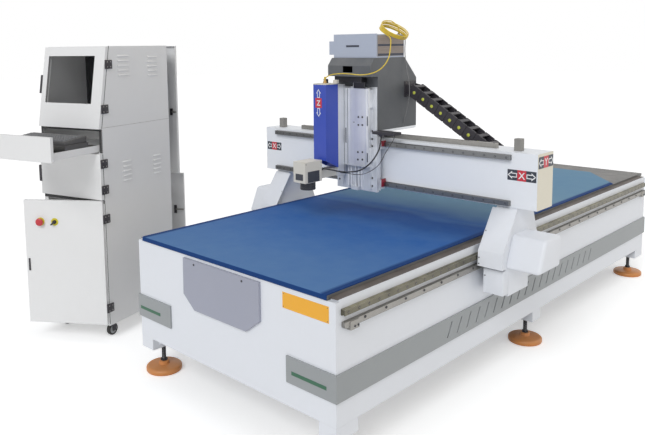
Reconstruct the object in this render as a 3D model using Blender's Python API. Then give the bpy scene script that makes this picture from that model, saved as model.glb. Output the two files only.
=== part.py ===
"""Gantry router bed with a fibre-laser scan head and its control cabinet.

Metres, Z up, front towards -Y. The bed's front apron is at Y = 0 and its middle at X = 0 while the
pieces are made; at the end everything is moved so that the origin is under the middle of the object.
"""
import math

import bmesh
import bpy
from mathutils import Matrix, Vector

for old in list(bpy.data.objects):
    bpy.data.objects.remove(old, do_unlink=True)

# Clearances
TOUCH_GAP = 0.0003
RUN_GAP = 0.0005

# Bed
BED_HALF = 0.700
BED_LENGTH = 3.520
SKIRT_BOTTOM = 0.205
APRON_TOP = 0.735
SIDE_TOP = 0.744
PLATE = 0.006
LEG_BOTTOM = 0.165
FOOT_IN = 0.068
FOOT_X = BED_HALF - FOOT_IN
FOOT_Y = (0.0887, BED_LENGTH / 2 + 0.012, BED_LENGTH - 0.089)
STRIP_WIDE = 0.045
TABLE_HALF = BED_HALF - STRIP_WIDE - RUN_GAP
TABLE_TOP = 0.756
TABLE_BACK = BED_LENGTH + 0.063
MAT_BACK = TABLE_BACK - 0.222
MAT_THICK = 0.004
TRIM_BOTTOM = 0.317
TRIM_TOP = 0.436
TRIM_THICK = 0.008
FRONT_RETURN = 0.280
REAR_RETURN = 0.250

# Y guides on the bed's sides
RAIL_DEPTH = 0.022
RAIL_LOW = 0.678
RAIL_HIGH = 0.704
RACK_LOW = 0.6235
RACK_HIGH = 0.650
RACK_DEPTH = 0.020
Y_PINION_R = 0.020

# Gantry
BEAM_HALF = BED_HALF + 0.258
BEAM_FRONT = 1.195
BEAM_BACK = 1.361
BEAM_LOW = 0.933
BEAM_HIGH = 1.214
LEG_IN = BED_HALF + 0.0455
LEG_OUT = BED_HALF + 0.155
X_RAIL_FRONT = 1.1727
X_PINION_R = 0.020

# Carriage, Z slide and scan head
CAR_X = -0.110
HOOD_LEFT = -0.270
HOOD_RIGHT = 0.045
SCREW_Y = 1.105
SCREW_R = 0.006
COLUMN_X = (-0.258, -0.163)

# Drag chain
CHAIN_TALL = 0.075
CHAIN_Y = (1.372, 1.472)
CHAIN_LINK = 0.070
CHAIN_BEND = 0.100

# Fibre coil
COIL_R = 0.080
FIBRE_R = 0.003
COIL_PITCH = 0.0066
COIL_FROM = 0.34
COIL_TO = 6.695
LOOP_POINTS = 24

# Cabinet, in its own frame: U to the right along its front, V to its back
CAB_AT = Vector((-1.174, 0.0644, 0.0))
CAB_TURN = 0.273
CAB_W = 0.500
CAB_D = 0.636
CAB_LOW = 0.0924
CAB_HIGH = 1.766
SHEET = 0.003
DOOR_T = 0.020
RIM = 0.030
CASTER_IN = 0.060
REAR_CASTER = 0.076
GLASS_LAP = 0.012
LEAN_Z = 1.283
LEAN = 0.17557
LOWER_OPEN = math.radians(20.0)
REAR_UP_OPEN = math.radians(11.0)
REAR_LOW_OPEN = math.radians(19.0)
WHEEL_R = 0.0375

CAB = Matrix.Translation(CAB_AT) @ Matrix.Rotation(CAB_TURN, 4, 'Z')
nodes = []


def box(x0, x1, y0, y1, z0, z1):
    """A closed cuboid."""
    bm = bmesh.new()
    size = Matrix.Diagonal((x1 - x0, y1 - y0, z1 - z0, 1.0))
    middle = Matrix.Translation(((x0 + x1) / 2, (y0 + y1) / 2, (z0 + z1) / 2))
    bmesh.ops.create_cube(bm, size=1.0, matrix=middle @ size)
    return bm


def prism(axis, outline, a0, a1):
    """A polygon pushed along one axis: (y, z) along x, (x, z) along y, (x, y) along z."""
    order = {'x': lambda p, a: (a, p[0], p[1]),
             'y': lambda p, a: (p[0], a, p[1]),
             'z': lambda p, a: (p[0], p[1], a)}[axis]
    bm = bmesh.new()
    low = [bm.verts.new(order(p, a0)) for p in outline]
    high = [bm.verts.new(order(p, a1)) for p in outline]
    bm.faces.new(low)
    bm.faces.new(high)
    count = len(outline)
    for i in range(count):
        j = (i + 1) % count
        bm.faces.new((low[i], low[j], high[j], high[i]))
    bmesh.ops.recalc_face_normals(bm, faces=bm.faces)
    return bm


def rod(axis, centre, radius, a0, a1, sides=24):
    """A round bar along one axis."""
    ring = []
    for i in range(sides):
        angle = 2 * math.pi * i / sides
        ring.append((centre[0] + radius * math.cos(angle), centre[1] + radius * math.sin(angle)))
    return prism(axis, ring, a0, a1)


def turned(profile, centre, sides=24):
    """A solid turned about a vertical axis from (radius, height) steps."""
    bm = bmesh.new()
    rings = []
    for radius, height in profile:
        ring = []
        for i in range(sides):
            angle = 2 * math.pi * i / sides
            ring.append(bm.verts.new((centre[0] + radius * math.cos(angle),
                                      centre[1] + radius * math.sin(angle), height)))
        rings.append(ring)
    bm.faces.new(rings[0])
    bm.faces.new(rings[-1])
    for a, b in zip(rings, rings[1:]):
        for i in range(sides):
            j = (i + 1) % sides
            bm.faces.new((a[i], a[j], b[j], b[i]))
    bmesh.ops.recalc_face_normals(bm, faces=bm.faces)
    return bm


def moved(bm, matrix):
    """The same solid carried by a matrix."""
    bmesh.ops.transform(bm, matrix=matrix, verts=bm.verts)
    return bm


def joined(solids):
    """Several separate cutters in one mesh."""
    whole = bmesh.new()
    for bm in solids:
        lump = bpy.data.meshes.new("lump")
        bm.to_mesh(lump)
        whole.from_mesh(lump)
        bpy.data.meshes.remove(lump)
    return whole


def rounded(bm, radius, steps=2):
    """All edges of a solid rounded."""
    bmesh.ops.bevel(bm, geom=list(bm.edges), offset=radius, segments=steps, affect='EDGES', profile=0.5)
    return bm


def smooth_line(points, per_span):
    """A smooth line through the points."""
    line = []
    count = len(points)
    for i in range(count - 1):
        p1 = Vector(points[i])
        p2 = Vector(points[i + 1])
        p0 = Vector(points[i - 1]) if i else p1 * 2 - p2
        p3 = Vector(points[i + 2]) if i + 2 < count else p2 * 2 - p1
        for k in range(per_span):
            t = k / per_span
            line.append(0.5 * (2 * p1 + (p2 - p0) * t + (2 * p0 - 5 * p1 + 4 * p2 - p3) * t * t
                               + (3 * p1 - p0 - 3 * p2 + p3) * t ** 3))
    line.append(Vector(points[-1]))
    return line


def tube(line, radius, sides=6):
    """A round cord along a line."""
    bm = bmesh.new()
    rings = []
    side = None
    for i, point in enumerate(line):
        ahead = line[min(i + 1, len(line) - 1)] - line[max(i - 1, 0)]
        ahead.normalize()
        if side is None:
            side = ahead.orthogonal()
        side = side - ahead * side.dot(ahead)
        side.normalize()
        up = ahead.cross(side)
        ring = []
        for k in range(sides):
            angle = 2 * math.pi * k / sides
            ring.append(bm.verts.new(point + radius * (math.cos(angle) * side + math.sin(angle) * up)))
        rings.append(ring)
    bm.faces.new(rings[0])
    bm.faces.new(rings[-1])
    for a, b in zip(rings, rings[1:]):
        for k in range(sides):
            j = (k + 1) % sides
            bm.faces.new((a[k], a[j], b[j], b[k]))
    bmesh.ops.recalc_face_normals(bm, faces=bm.faces)
    return bm


def paint(name, colour, rough, metal):
    """A material of the node's own."""
    material = bpy.data.materials.new(name)
    material.use_nodes = True
    shader = material.node_tree.nodes["Principled BSDF"]
    shader.inputs["Base Color"].default_value = (*colour, 1.0)
    shader.inputs["Roughness"].default_value = rough
    shader.inputs["Metallic"].default_value = metal
    return material


def helper(name, bm, kind, target):
    """A hidden solid that is joined to a node or cut from it."""
    mesh = bpy.data.meshes.new(name)
    bm.to_mesh(mesh)
    bm.free()
    tool = bpy.data.objects.new(name, mesh)
    bpy.context.scene.collection.objects.link(tool)
    tool.hide_render = True
    tool.display_type = 'WIRE'
    step = target.modifiers.new(name, 'BOOLEAN')
    step.operation = kind
    step.solver = 'EXACT'
    step.object = tool


def node(name, bm, joins=(), cuts=(), origin=(0.0, 0.0, 0.0), colour=(0.8, 0.8, 0.8), rough=0.5, metal=0.0):
    """One named piece: a solid, what is joined to it and what is cut from it."""
    at = Vector(origin)
    bmesh.ops.translate(bm, vec=-at, verts=bm.verts)
    mesh = bpy.data.meshes.new(name)
    bm.to_mesh(mesh)
    bm.free()
    piece = bpy.data.objects.new(name, mesh)
    bpy.context.scene.collection.objects.link(piece)
    piece.location = at
    mesh.materials.append(paint(name, colour, rough, metal))
    for i, solid in enumerate(joins):
        helper(f"{name}.join{i}", solid, 'UNION', piece)
    for i, solid in enumerate(cuts):
        helper(f"{name}.cut{i}", solid, 'DIFFERENCE', piece)
    nodes.append(piece)
    return piece


def sides(low, high, side):
    """A span on the right, or its mirror on the left."""
    return (low, high) if side > 0 else (-high, -low)


WHITE = (0.80, 0.82, 0.86)
STEEL = (0.55, 0.56, 0.58)
ALLOY = (0.70, 0.72, 0.76)
DARK = (0.03, 0.03, 0.035)
GREY = (0.30, 0.31, 0.31)

# Bed frame: a clad steel box, open below, with corner posts, cross members and two raised side strips
posts = []
for x in (-FOOT_X, FOOT_X):
    for y in FOOT_Y:
        posts.append(box(x - 0.05, x + 0.05, y - 0.05, y + 0.05, LEG_BOTTOM, APRON_TOP - PLATE / 2))
rib_half = BED_HALF - PLATE / 2
ribs = [box(-rib_half, rib_half, y - 0.03, y + 0.03, 0.600, APRON_TOP - PLATE / 2)
        for y in (0.9, BED_LENGTH - 0.92)]
strips = [box(x0, x1, 0.020, BED_LENGTH - 0.020, APRON_TOP - PLATE / 2, SIDE_TOP)
          for x0, x1 in ((BED_HALF - STRIP_WIDE, BED_HALF), (-BED_HALF, STRIP_WIDE - BED_HALF))]
hollow = box(-BED_HALF + PLATE, BED_HALF - PLATE, PLATE, BED_LENGTH - PLATE, 0.150, APRON_TOP - PLATE)
shell = node("bed_frame", box(-BED_HALF, BED_HALF, 0.0, BED_LENGTH, SKIRT_BOTTOM, APRON_TOP), (), [hollow],
             colour=WHITE, rough=0.35)
for i, solid in enumerate(posts + ribs + strips):
    helper(f"bed_frame.member{i}", solid, 'UNION', shell)

cover = [(-0.292, 0.7215), (0.260, 0.7215), (0.260, 0.541), (0.168, 0.471), (-0.212, 0.471), (-0.295, 0.537)]
node("front_cover", prism('y', cover, -0.0123, -TOUCH_GAP), colour=(0.36, 0.37, 0.43), rough=0.4)

for side, word in ((1, "right"), (-1, "left")):
    inner = BED_HALF + TOUCH_GAP
    outer = inner + TRIM_THICK
    fore = -TOUCH_GAP
    aft = BED_LENGTH + TOUCH_GAP
    band = [(BED_HALF - FRONT_RETURN, fore - TRIM_THICK), (outer, fore - TRIM_THICK),
            (outer, aft + TRIM_THICK), (BED_HALF - REAR_RETURN, aft + TRIM_THICK),
            (BED_HALF - REAR_RETURN, aft), (inner, aft), (inner, fore), (BED_HALF - FRONT_RETURN, fore)]
    band = [(side * x, y) for x, y in band]
    slots = []
    for i in range(20):
        y = 0.800 + i * 0.0884
        slot = [(y, 0.340), (y + 0.012, 0.340), (y + 0.052, 0.412), (y + 0.040, 0.412)]
        x0, x1 = sides(inner - 0.0018, outer + 0.0117, side)
        slots.append(prism('x', slot, x0, x1))
    node(f"side_trim_{word}", prism('z', band, TRIM_BOTTOM, TRIM_TOP), (), [joined(slots)], colour=GREY)

node("table_top", box(-TABLE_HALF, TABLE_HALF, -0.0020, TABLE_BACK, APRON_TOP + TOUCH_GAP, TABLE_TOP),
     colour=(0.24, 0.23, 0.21), rough=0.6)
mat_low = TABLE_TOP + TOUCH_GAP
mat_edge = [(-0.0063, 0.7375), (-0.0023, 0.7375), (-0.0023, mat_low), (MAT_BACK, mat_low),
            (MAT_BACK, mat_low + MAT_THICK), (-0.0063, mat_low + MAT_THICK)]
MAT_HALF = TABLE_HALF - RUN_GAP
corner = prism('z', [(MAT_HALF - 0.301, MAT_BACK), (MAT_HALF + 0.066, MAT_BACK - 0.427),
                     (MAT_HALF + 0.066, MAT_BACK + 0.089), (MAT_HALF - 0.301, MAT_BACK + 0.089)],
               0.700, 0.800)
node("table_mat", prism('x', mat_edge, -MAT_HALF, MAT_HALF), (), [corner],
     colour=(0.03, 0.10, 0.30), rough=0.9)

for side, word in ((1, "right"), (-1, "left")):
    x0, x1 = sides(BED_HALF + TOUCH_GAP, BED_HALF + TOUCH_GAP + RAIL_DEPTH, side)
    node(f"y_rail_{word}", box(x0, x1, 0.030, BED_LENGTH - 0.030, RAIL_LOW, RAIL_HIGH),
         colour=STEEL, rough=0.3, metal=1.0)
    x0, x1 = sides(BED_HALF + TOUCH_GAP, BED_HALF + TOUCH_GAP + RACK_DEPTH, side)
    s0, s1 = sides(BED_HALF + 0.0010, BED_HALF + 0.0260, side)
    stops = [box(s0, s1, y, y + 0.056, RACK_LOW - 0.0135, RACK_HIGH - 0.0010)
             for y in (0.062, BED_LENGTH - 0.118)]
    node(f"y_rack_{word}", box(x0, x1, 0.033, BED_LENGTH - 0.033, RACK_LOW, RACK_HIGH), stops,
         colour=STEEL, rough=0.4, metal=1.0)

for y, place in zip(FOOT_Y, ("front", "middle", "rear")):
    for side, word in ((1, "right"), (-1, "left")):
        pad = [(0.090, 0.0), (0.097, 0.006), (0.097, 0.022), (0.086, 0.032), (0.030, 0.034), (0.026, 0.052),
               (0.012, 0.054), (0.012, 0.140), (0.020, 0.141), (0.020, LEG_BOTTOM - TOUCH_GAP)]
        node(f"foot_{place}_{word}", turned(pad, (side * FOOT_X, y)), colour=(0.45, 0.17, 0.04), rough=0.5)

# Gantry beam: a hollow box with cable holes in its back and a welded shelf for the chain's lower run
tube_room = box(-BEAM_HALF + 0.008, BEAM_HALF - 0.008, BEAM_FRONT + 0.008, BEAM_BACK - 0.008,
                BEAM_LOW + 0.008, BEAM_HIGH - 0.008)
cable_holes = [rod('y', (x, 1.09), 0.030, BEAM_BACK - 0.020, BEAM_BACK + 0.020, 16)
               for x in (0.258 - BEAM_HALF, -0.30, BEAM_HALF - 0.158)]
shelf = [(1.355, 0.942), (1.480, 0.942), (1.480, 0.975), (1.475, 0.975), (1.475, 0.949), (1.355, 0.949)]
node("gantry_beam", box(-BEAM_HALF, BEAM_HALF, BEAM_FRONT, BEAM_BACK, BEAM_LOW, BEAM_HIGH),
     [prism('x', shelf, -0.100, BEAM_HALF - 0.118)], [tube_room] + cable_holes, colour=WHITE, rough=0.35)
X_RAIL = (0.104 - BEAM_HALF, BEAM_HALF - 0.138)
node("x_rail_upper", box(*X_RAIL, X_RAIL_FRONT, BEAM_FRONT - TOUCH_GAP, 1.1735, 1.2005),
     colour=STEEL, rough=0.3, metal=1.0)
node("x_rail_lower", box(*X_RAIL, X_RAIL_FRONT, BEAM_FRONT - TOUCH_GAP, 0.941, 0.968),
     colour=STEEL, rough=0.3, metal=1.0)
node("x_rack", box(0.268 - BEAM_HALF, BEAM_HALF - 0.253, 1.255, 1.280, BEAM_HIGH + TOUCH_GAP, 1.240),
     colour=STEEL, rough=0.4, metal=1.0)
for side, word in ((1, "right"), (-1, "left")):
    x0 = BEAM_HALF - 0.150 if side > 0 else 0.080 - BEAM_HALF
    node(f"x_end_stop_{word}", box(x0, x0 + 0.036, 1.240, 1.276, BEAM_HIGH + TOUCH_GAP, 1.276), colour=GREY)

# Gantry legs with their bearing blocks on the Y rails, drive covers and pinions
LEG = [(1.200, BEAM_LOW - TOUCH_GAP), (1.360, BEAM_LOW - TOUCH_GAP), (1.440, 0.720), (1.440, 0.600),
       (1.330, 0.560), (1.330, 0.500), (1.120, 0.500), (1.120, 0.615), (1.0877, 0.615), (1.0877, 0.700),
       (1.1877, 0.925)]
ROOM = [(1.205, 0.920), (1.350, 0.920), (1.428, 0.715), (1.428, 0.612), (1.318, 0.572), (1.318, 0.512),
        (1.132, 0.512), (1.132, 0.627), (1.100, 0.627), (1.100, 0.698)]
BENT = [(1.185, 0.925), (1.085, 0.700), (1.085, 0.615), (1.0874, 0.615), (1.0874, 0.700), (1.1874, 0.925)]
pinion_y = 1.225
pinion_z = RACK_LOW - Y_PINION_R - RUN_GAP
for side, word in ((1, "right"), (-1, "left")):
    x0, x1 = sides(LEG_IN, LEG_OUT, side)
    b0, b1 = sides(BED_HALF + 0.004, LEG_IN + 0.004, side)
    blocks = [box(b0, b1, y, y + 0.080, 0.664, 0.718) for y in (1.140, 1.330)]
    p0, p1 = sides(BED_HALF + 0.0255, BED_HALF + 0.070, side)
    blocks.append(box(p0, p1, 1.120, 1.330, 0.500, 0.613))
    r0, r1 = sides(LEG_IN + 0.010, LEG_OUT - 0.010, side)
    g0, g1 = sides(BED_HALF - 0.010, BED_HALF + TOUCH_GAP + RAIL_DEPTH + RUN_GAP, side)
    h0, h1 = sides(BED_HALF + 0.020, BED_HALF + 0.080, side)
    w0, w1 = sides(BED_HALF + 0.070, BED_HALF + 0.130, side)
    cuts = [prism('x', ROOM, r0, r1),
            box(g0, g1, 1.100, 1.450, RAIL_LOW - RUN_GAP, RAIL_HIGH + RUN_GAP),
            rod('x', (pinion_y, pinion_z), 0.0085, h0, h1),
            box(w0, w1, 1.410, 1.460, 0.630, 0.700)]
    node(f"gantry_leg_{word}", prism('x', LEG, x0, x1), blocks, cuts, colour=WHITE, rough=0.4)
    c0, c1 = sides(BED_HALF + 0.026, LEG_OUT + 0.007, side)
    node(f"leg_cover_{word}", prism('x', BENT, c0, c1), colour=WHITE, rough=0.35)
    d0, d1 = sides(LEG_OUT - 0.045, LEG_OUT + 0.175, side)
    i0, i1 = sides(LEG_OUT - 0.065, LEG_OUT + 0.169, side)
    f0, f1 = sides(LEG_OUT - 0.105, LEG_OUT + TOUCH_GAP, side)
    node(f"y_drive_cover_{word}", rounded(box(d0, d1, 1.150, 1.345, 0.645, 0.800), 0.018), (),
         [rounded(box(i0, i1, 1.156, 1.339, 0.651, 0.794), 0.013), box(f0, f1, 1.100, 1.400, 0.600, 0.850)],
         colour=WHITE, rough=0.4)
    t0, t1 = sides(BED_HALF + 0.0015, BED_HALF + 0.0205, side)
    s0, s1 = sides(BED_HALF + 0.018, BED_HALF + 0.110, side)
    k0, k1 = sides(BED_HALF + 0.070, BED_HALF + 0.085, side)
    node(f"y_pinion_{word}", rod('x', (pinion_y, pinion_z), Y_PINION_R, t0, t1),
         [rod('x', (pinion_y, pinion_z), 0.0080, s0, s1), rod('x', (pinion_y, pinion_z), 0.0140, k0, k1)],
         origin=((t0 + t1) / 2, pinion_y, pinion_z), colour=STEEL, rough=0.35, metal=1.0)

# Drag chain: level at the hood, then down to the right, round its bend and back along the shelf
slope = math.atan(0.597)
start = Vector((HOOD_RIGHT + TOUCH_GAP, 1.4955))
path = [(start, Vector((1.0, 0.0))), (start + Vector((0.020, 0.0)), Vector((1.0, 0.0)))]
down = Vector((math.cos(slope), -math.sin(slope)))
run_start = start + Vector((0.040, -0.006))
run_end = Vector((0.600, 1.175))
pitch_count = round((run_end - run_start).length / CHAIN_LINK)
spots = []
for i in range(pitch_count):
    for part in (0.0, 0.90):
        spots.append(run_start.lerp(run_end, (i + part) / pitch_count))
path += [(p, down) for p in spots]
hub = run_end + CHAIN_BEND * Vector((-math.sin(slope), -math.cos(slope)))
turn_steps = 8
for i in range(turn_steps + 1):
    angle = math.pi / 2 - slope - (math.pi - slope) * i / turn_steps
    path.append((hub + CHAIN_BEND * Vector((math.cos(angle), math.sin(angle))),
                 Vector((math.sin(angle), -math.cos(angle)))))
low_end = hub.y - CHAIN_BEND
for i in range(8):
    for part in (0.10, 1.0):
        path.append((Vector((hub.x - (i + part) * CHAIN_LINK, low_end)), Vector((-1.0, 0.0))))
bm = bmesh.new()
rings = []
for spot, ahead in path:
    normal = Vector((-ahead.y, ahead.x))
    ring = []
    for out, y in ((1, CHAIN_Y[0]), (1, CHAIN_Y[1]), (-1, CHAIN_Y[1]), (-1, CHAIN_Y[0])):
        corner_at = spot + normal * (out * CHAIN_TALL / 2)
        ring.append(bm.verts.new((corner_at.x, y, corner_at.y)))
    rings.append(ring)
bm.faces.new(rings[0])
bm.faces.new(rings[-1])
for a, b in zip(rings, rings[1:]):
    for k in range(4):
        j = (k + 1) % 4
        bm.faces.new((a[k], a[j], b[j], b[k]))
bmesh.ops.recalc_face_normals(bm, faces=bm.faces)
node("x_drag_chain", bm, colour=DARK, rough=0.5)

# X carriage: face plate, four bearing blocks, a shelf over the beam and a cable tab
bearings = []
for z0, z1 in ((1.160, 1.2135), (0.930, 0.982)):
    for x0, x1 in ((-0.250, -0.160), (-0.056, 0.042)):
        bearings.append(box(x0, x1, 1.150, 1.1900, z0, z1))
shelf_plate = box(HOOD_LEFT + 0.005, HOOD_RIGHT, 1.140, 1.485, 1.2553, 1.2700)
tab = box(0.0405, 0.1050, 1.070, 1.160, 1.2553, 1.2700)
pinion_at = (CAR_X, 1.280 + X_PINION_R + RUN_GAP)
grooves = [box(-0.300, 0.100, X_RAIL_FRONT - RUN_GAP, 1.240, z0 - RUN_GAP, z1 + RUN_GAP)
           for z0, z1 in ((1.1735, 1.2005), (0.941, 0.968))]
node("x_carriage", box(-0.255, 0.035, 1.135, 1.155, 0.920, 1.510), bearings + [shelf_plate, tab],
     grooves + [rod('z', pinion_at, 0.0105, 1.240, 1.290)], colour=ALLOY, rough=0.35, metal=1.0)
node("x_pinion", turned([(X_PINION_R, 1.2165), (X_PINION_R, 1.2395), (0.010, 1.2396), (0.010, 1.2705),
                         (0.020, 1.2706), (0.020, 1.2860), (0.010, 1.2861), (0.010, 1.3300)], pinion_at),
     origin=(*pinion_at, 1.228), colour=STEEL, rough=0.35, metal=1.0)

hood_out = [(1.050, 1.575), (1.050, 1.637), (1.085, 1.680), (1.367, 1.680), (1.488, 1.558), (1.488, 1.2703),
            (1.117, 1.2703), (1.117, 1.575)]
hood_in = [(1.053, 1.578), (1.053, 1.6358), (1.0863, 1.677), (1.3657, 1.677), (1.485, 1.5567),
           (1.485, 1.260), (1.100, 1.260), (1.100, 1.578)]
node("carriage_hood", prism('x', hood_out, HOOD_LEFT, HOOD_RIGHT), (),
     [prism('x', hood_in, HOOD_LEFT + SHEET, HOOD_RIGHT - SHEET),
      box(-0.158, -0.085, 1.040, 1.060, 1.598, 1.634)],
     colour=(0.09, 0.095, 0.10), rough=0.5)

face = [(-0.265, 1.6803), (0.048, 1.6803), (0.048, 1.815), (-0.265, 1.815), (-0.265, 1.776),
        (-0.300, 1.776), (-0.300, 1.698), (-0.265, 1.698)]
node("laser_source", prism('y', face, 1.097, 1.107), [box(-0.262, 0.045, 1.105, 1.361, 1.6803, 1.812)],
     [box(-0.172, -0.075, 1.090, 1.101, 1.741, 1.752)], colour=(0.42, 0.48, 0.60), rough=0.35, metal=0.6)

# Z slide: fixed base with rails and fins, ball screw, moving plate with column and scan head
base_rails = [box(x, x + 0.020, 1.1003, 1.118, 0.930, 1.500) for x in (-0.222, -0.017)]
fins = [box(x, x + 0.006, 1.1003, 1.118, 0.920, 1.500) for x in (-0.160, -0.142, -0.084, -0.066)]
ends = [box(-0.135, -0.085, 1.0955, 1.118, z, z + 0.020) for z in (0.914, 1.496)]
node("z_base", box(-0.259, 0.040, 1.1153, 1.135 - TOUCH_GAP, 0.914, 1.516), base_rails + fins + ends,
     [rod('z', (CAR_X, SCREW_Y), SCREW_R + RUN_GAP, 0.900, 1.530, 16)], colour=ALLOY, rough=0.35, metal=1.0)
node("z_screw", turned([(0.006, 0.916), (0.006, 0.9345), (0.009, 0.9346), (0.009, 0.9445), (0.006, 0.9446),
                        (0.006, 1.4855), (0.009, 1.4856), (0.009, 1.4954), (0.006, 1.4955), (0.006, 1.540)],
                       (CAR_X, SCREW_Y), 16),
     origin=(CAR_X, SCREW_Y, 1.215), colour=STEEL, rough=0.25, metal=1.0)
riders = []
for x in (-0.232, -0.027):
    for z in (1.090, 1.400):
        riders.append(box(x, x + 0.040, 1.090, 1.113, z, z + 0.080))
nut = box(-0.130, -0.090, 1.090, 1.1135, 1.250, 1.310)
bracket = box(-0.255, -0.165, 1.0143, 1.078, 1.000, 1.530)
tracks = [box(x - RUN_GAP, x + 0.020 + RUN_GAP, 1.1003 - RUN_GAP, 1.130, 1.000, 1.550)
          for x in (-0.222, -0.017)]
node("z_plate", box(-0.227, 0.008, 1.075, 1.0925, 1.060, 1.509), riders + [nut, bracket],
     tracks + [rod('z', (CAR_X, SCREW_Y), SCREW_R + RUN_GAP, 1.240, 1.320, 16)],
     colour=ALLOY, rough=0.35, metal=1.0)
column_out = [(0.909, 1.100), (1.014, 1.050), (1.014, 1.538), (0.909, 1.538)]
column_in = [(0.912, 1.060), (1.011, 1.030), (1.011, 1.535), (0.912, 1.535)]
node("column_cover", prism('x', column_out, *COLUMN_X), (),
     [prism('x', column_in, COLUMN_X[0] + SHEET, COLUMN_X[1] - SHEET)],
     colour=(0.05, 0.09, 0.45), rough=0.35)
node("scan_head", box(-0.257, -0.165, 0.738, 0.874, 0.993, 1.111),
     [box(-0.240, -0.180, 0.870, 1.014, 1.002, 1.048)], colour=(0.68, 0.64, 0.58), rough=0.45)
node("scan_lens", turned([(0.040, 0.948), (0.044, 0.951), (0.044, 0.993 - TOUCH_GAP)], (-0.211, 0.806)),
     colour=DARK, rough=0.3)

# Cords: the fibre's spare loops on the laser source, its lead to the column and the scan head's cable
across = Vector((0.6833, 0.6105, -0.4005)).normalized()
dip = Vector((0.5932, -0.7840, -0.1830)).normalized()
up = dip.cross(across).normalized()
coil_at = Vector((0.0522, 1.2551, 1.8420))


def on_coil(turn):
    """A point of the fibre's spare loops, counted in turns from the lower end."""
    angle = 2 * math.pi * turn
    reach = COIL_R + 0.003 * math.sin(2.1 * turn)
    flat = across * (reach * math.cos(angle)) + dip * (reach * math.sin(angle))
    return coil_at + flat + up * ((turn - (COIL_FROM + COIL_TO) / 2) * COIL_PITCH)


coil_count = round((COIL_TO - COIL_FROM) * LOOP_POINTS)
coil_step = (COIL_TO - COIL_FROM) / coil_count
coil = [on_coil(COIL_FROM + k * coil_step) for k in range(coil_count + 1)]
tail = [coil[-1], (0.0130, 1.3385, 1.8620), (0.0180, 1.3460, 1.8360), (0.0185, 1.3470, 1.8230),
        (0.0185, 1.3470, 1.8120 + TOUCH_GAP)]
coil = coil[:-1] + smooth_line(tail, 4)
self_gap = min((coil[i] - coil[j]).length for i in range(len(coil))
               for j in range(i + LOOP_POINTS // 2, len(coil)))
self_gap -= 2 * FIBRE_R
print(f"least gap between the fibre's loops {self_gap * 1000:.2f} mm")
YELLOW = (0.75, 0.55, 0.05)
node("fibre_coil", tube(coil, FIBRE_R), colour=YELLOW, rough=0.4)
leave = (coil[0] - coil[1]).normalized()
lead = [coil[0] + leave * TOUCH_GAP, coil[0] + leave * 0.015, (0.0830, 1.1740, 1.8030),
        (0.0925, 1.1705, 1.7830), (0.0990, 1.1600, 1.7440), (0.1035, 1.1460, 1.7030), (0.1020, 1.1320, 1.6700),
        (0.0930, 1.1120, 1.6400), (0.0800, 1.0820, 1.6140), (0.0580, 1.0400, 1.5960), (0.0160, 0.9950, 1.5890),
        (-0.0630, 0.9650, 1.5960), (-0.1350, 0.9520, 1.5920), (-0.1850, 0.9500, 1.5790),
        (-0.2030, 0.9500, 1.5620), (-0.2050, 0.9500, 1.5390)]
node("fibre_lead", tube(smooth_line(lead, 4), FIBRE_R), colour=YELLOW, rough=0.4)
cable = [(-0.170, 0.8749, 1.060), (-0.169, 0.885, 1.0595), (-0.165, 0.910, 1.055), (-0.156, 0.950, 1.045),
         (-0.150, 1.000, 1.031),
         (-0.096, 1.020, 1.030), (-0.015, 1.035, 1.049), (0.054, 1.045, 1.101), (0.092, 1.060, 1.165),
         (0.094, 1.076, 1.209), (0.090, 1.085, 1.240), (0.090, 1.086, 1.2546)]
node("head_cable", tube(smooth_line(cable, 4), 0.004), colour=DARK, rough=0.4)


def door(u0, u1, v0, v1, z0, z1, hinge, angle, inside, holes=()):
    """A folded door pan, open on one side, with its bores, swung about an upright hinge and set in place."""
    swing = Matrix.Translation(hinge) @ Matrix.Rotation(angle, 4, 'Z') @ Matrix.Translation(-Vector(hinge))
    solid = moved(box(u0, u1, v0, v1, z0, z1), CAB @ swing)
    p0, p1 = (v0 + SHEET, v1 + 0.010) if inside > 0 else (v0 - 0.010, v1 - SHEET)
    pan = box(u0 + SHEET, u1 - SHEET, p0, p1, z0 + SHEET, z1 - SHEET)
    return solid, [moved(h, CAB @ swing) for h in [pan, *holes]]


def lean_v(z):
    """Front face of the leaning door at a height."""
    return (z - LEAN_Z) * LEAN


# Cabinet shell: sheet box with a leaning top, door openings, drawer ledges and two fixed rear casters
front = DOOR_T + TOUCH_GAP
shell_out = [(front, CAB_LOW), (CAB_D, CAB_LOW), (CAB_D, CAB_HIGH), (lean_v(CAB_HIGH) + front, CAB_HIGH),
             (lean_v(LEAN_Z) + front, LEAN_Z)]
shell_in = [(front + SHEET, CAB_LOW + SHEET), (CAB_D - SHEET, CAB_LOW + SHEET),
            (CAB_D - SHEET, CAB_HIGH - SHEET), (lean_v(CAB_HIGH) + front + SHEET, CAB_HIGH - SHEET),
            (lean_v(LEAN_Z) + front + SHEET, LEAN_Z)]
glass_way = [(lean_v(1.310) - 0.01, 1.310), (lean_v(1.310) + 0.06, 1.310), (lean_v(1.740) + 0.06, 1.740),
             (lean_v(1.740) - 0.01, 1.740)]
way = (RIM - CAB_W, -RIM)
back_way = (CAB_D - 0.036, CAB_D + 0.014)
ways = [box(*way, 0.000, 0.040, 0.125, 0.840), box(*way, 0.000, 0.040, 0.885, 1.115),
        box(0.020 - CAB_W, -0.020, 0.000, 0.0300, 1.142, 1.272),
        prism('x', glass_way, 0.040 - CAB_W, -0.040),
        box(*way, *back_way, 0.930, CAB_HIGH - 0.026), box(*way, *back_way, 0.120, 0.870)]
CASTER_U = (CASTER_IN - CAB_W, -CASTER_IN)
pins = [rod('z', (u, 0.080), 0.0080, 0.080, 0.110, 16) for u in CASTER_U]
room = prism('x', shell_in, -CAB_W + SHEET, -SHEET)
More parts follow.
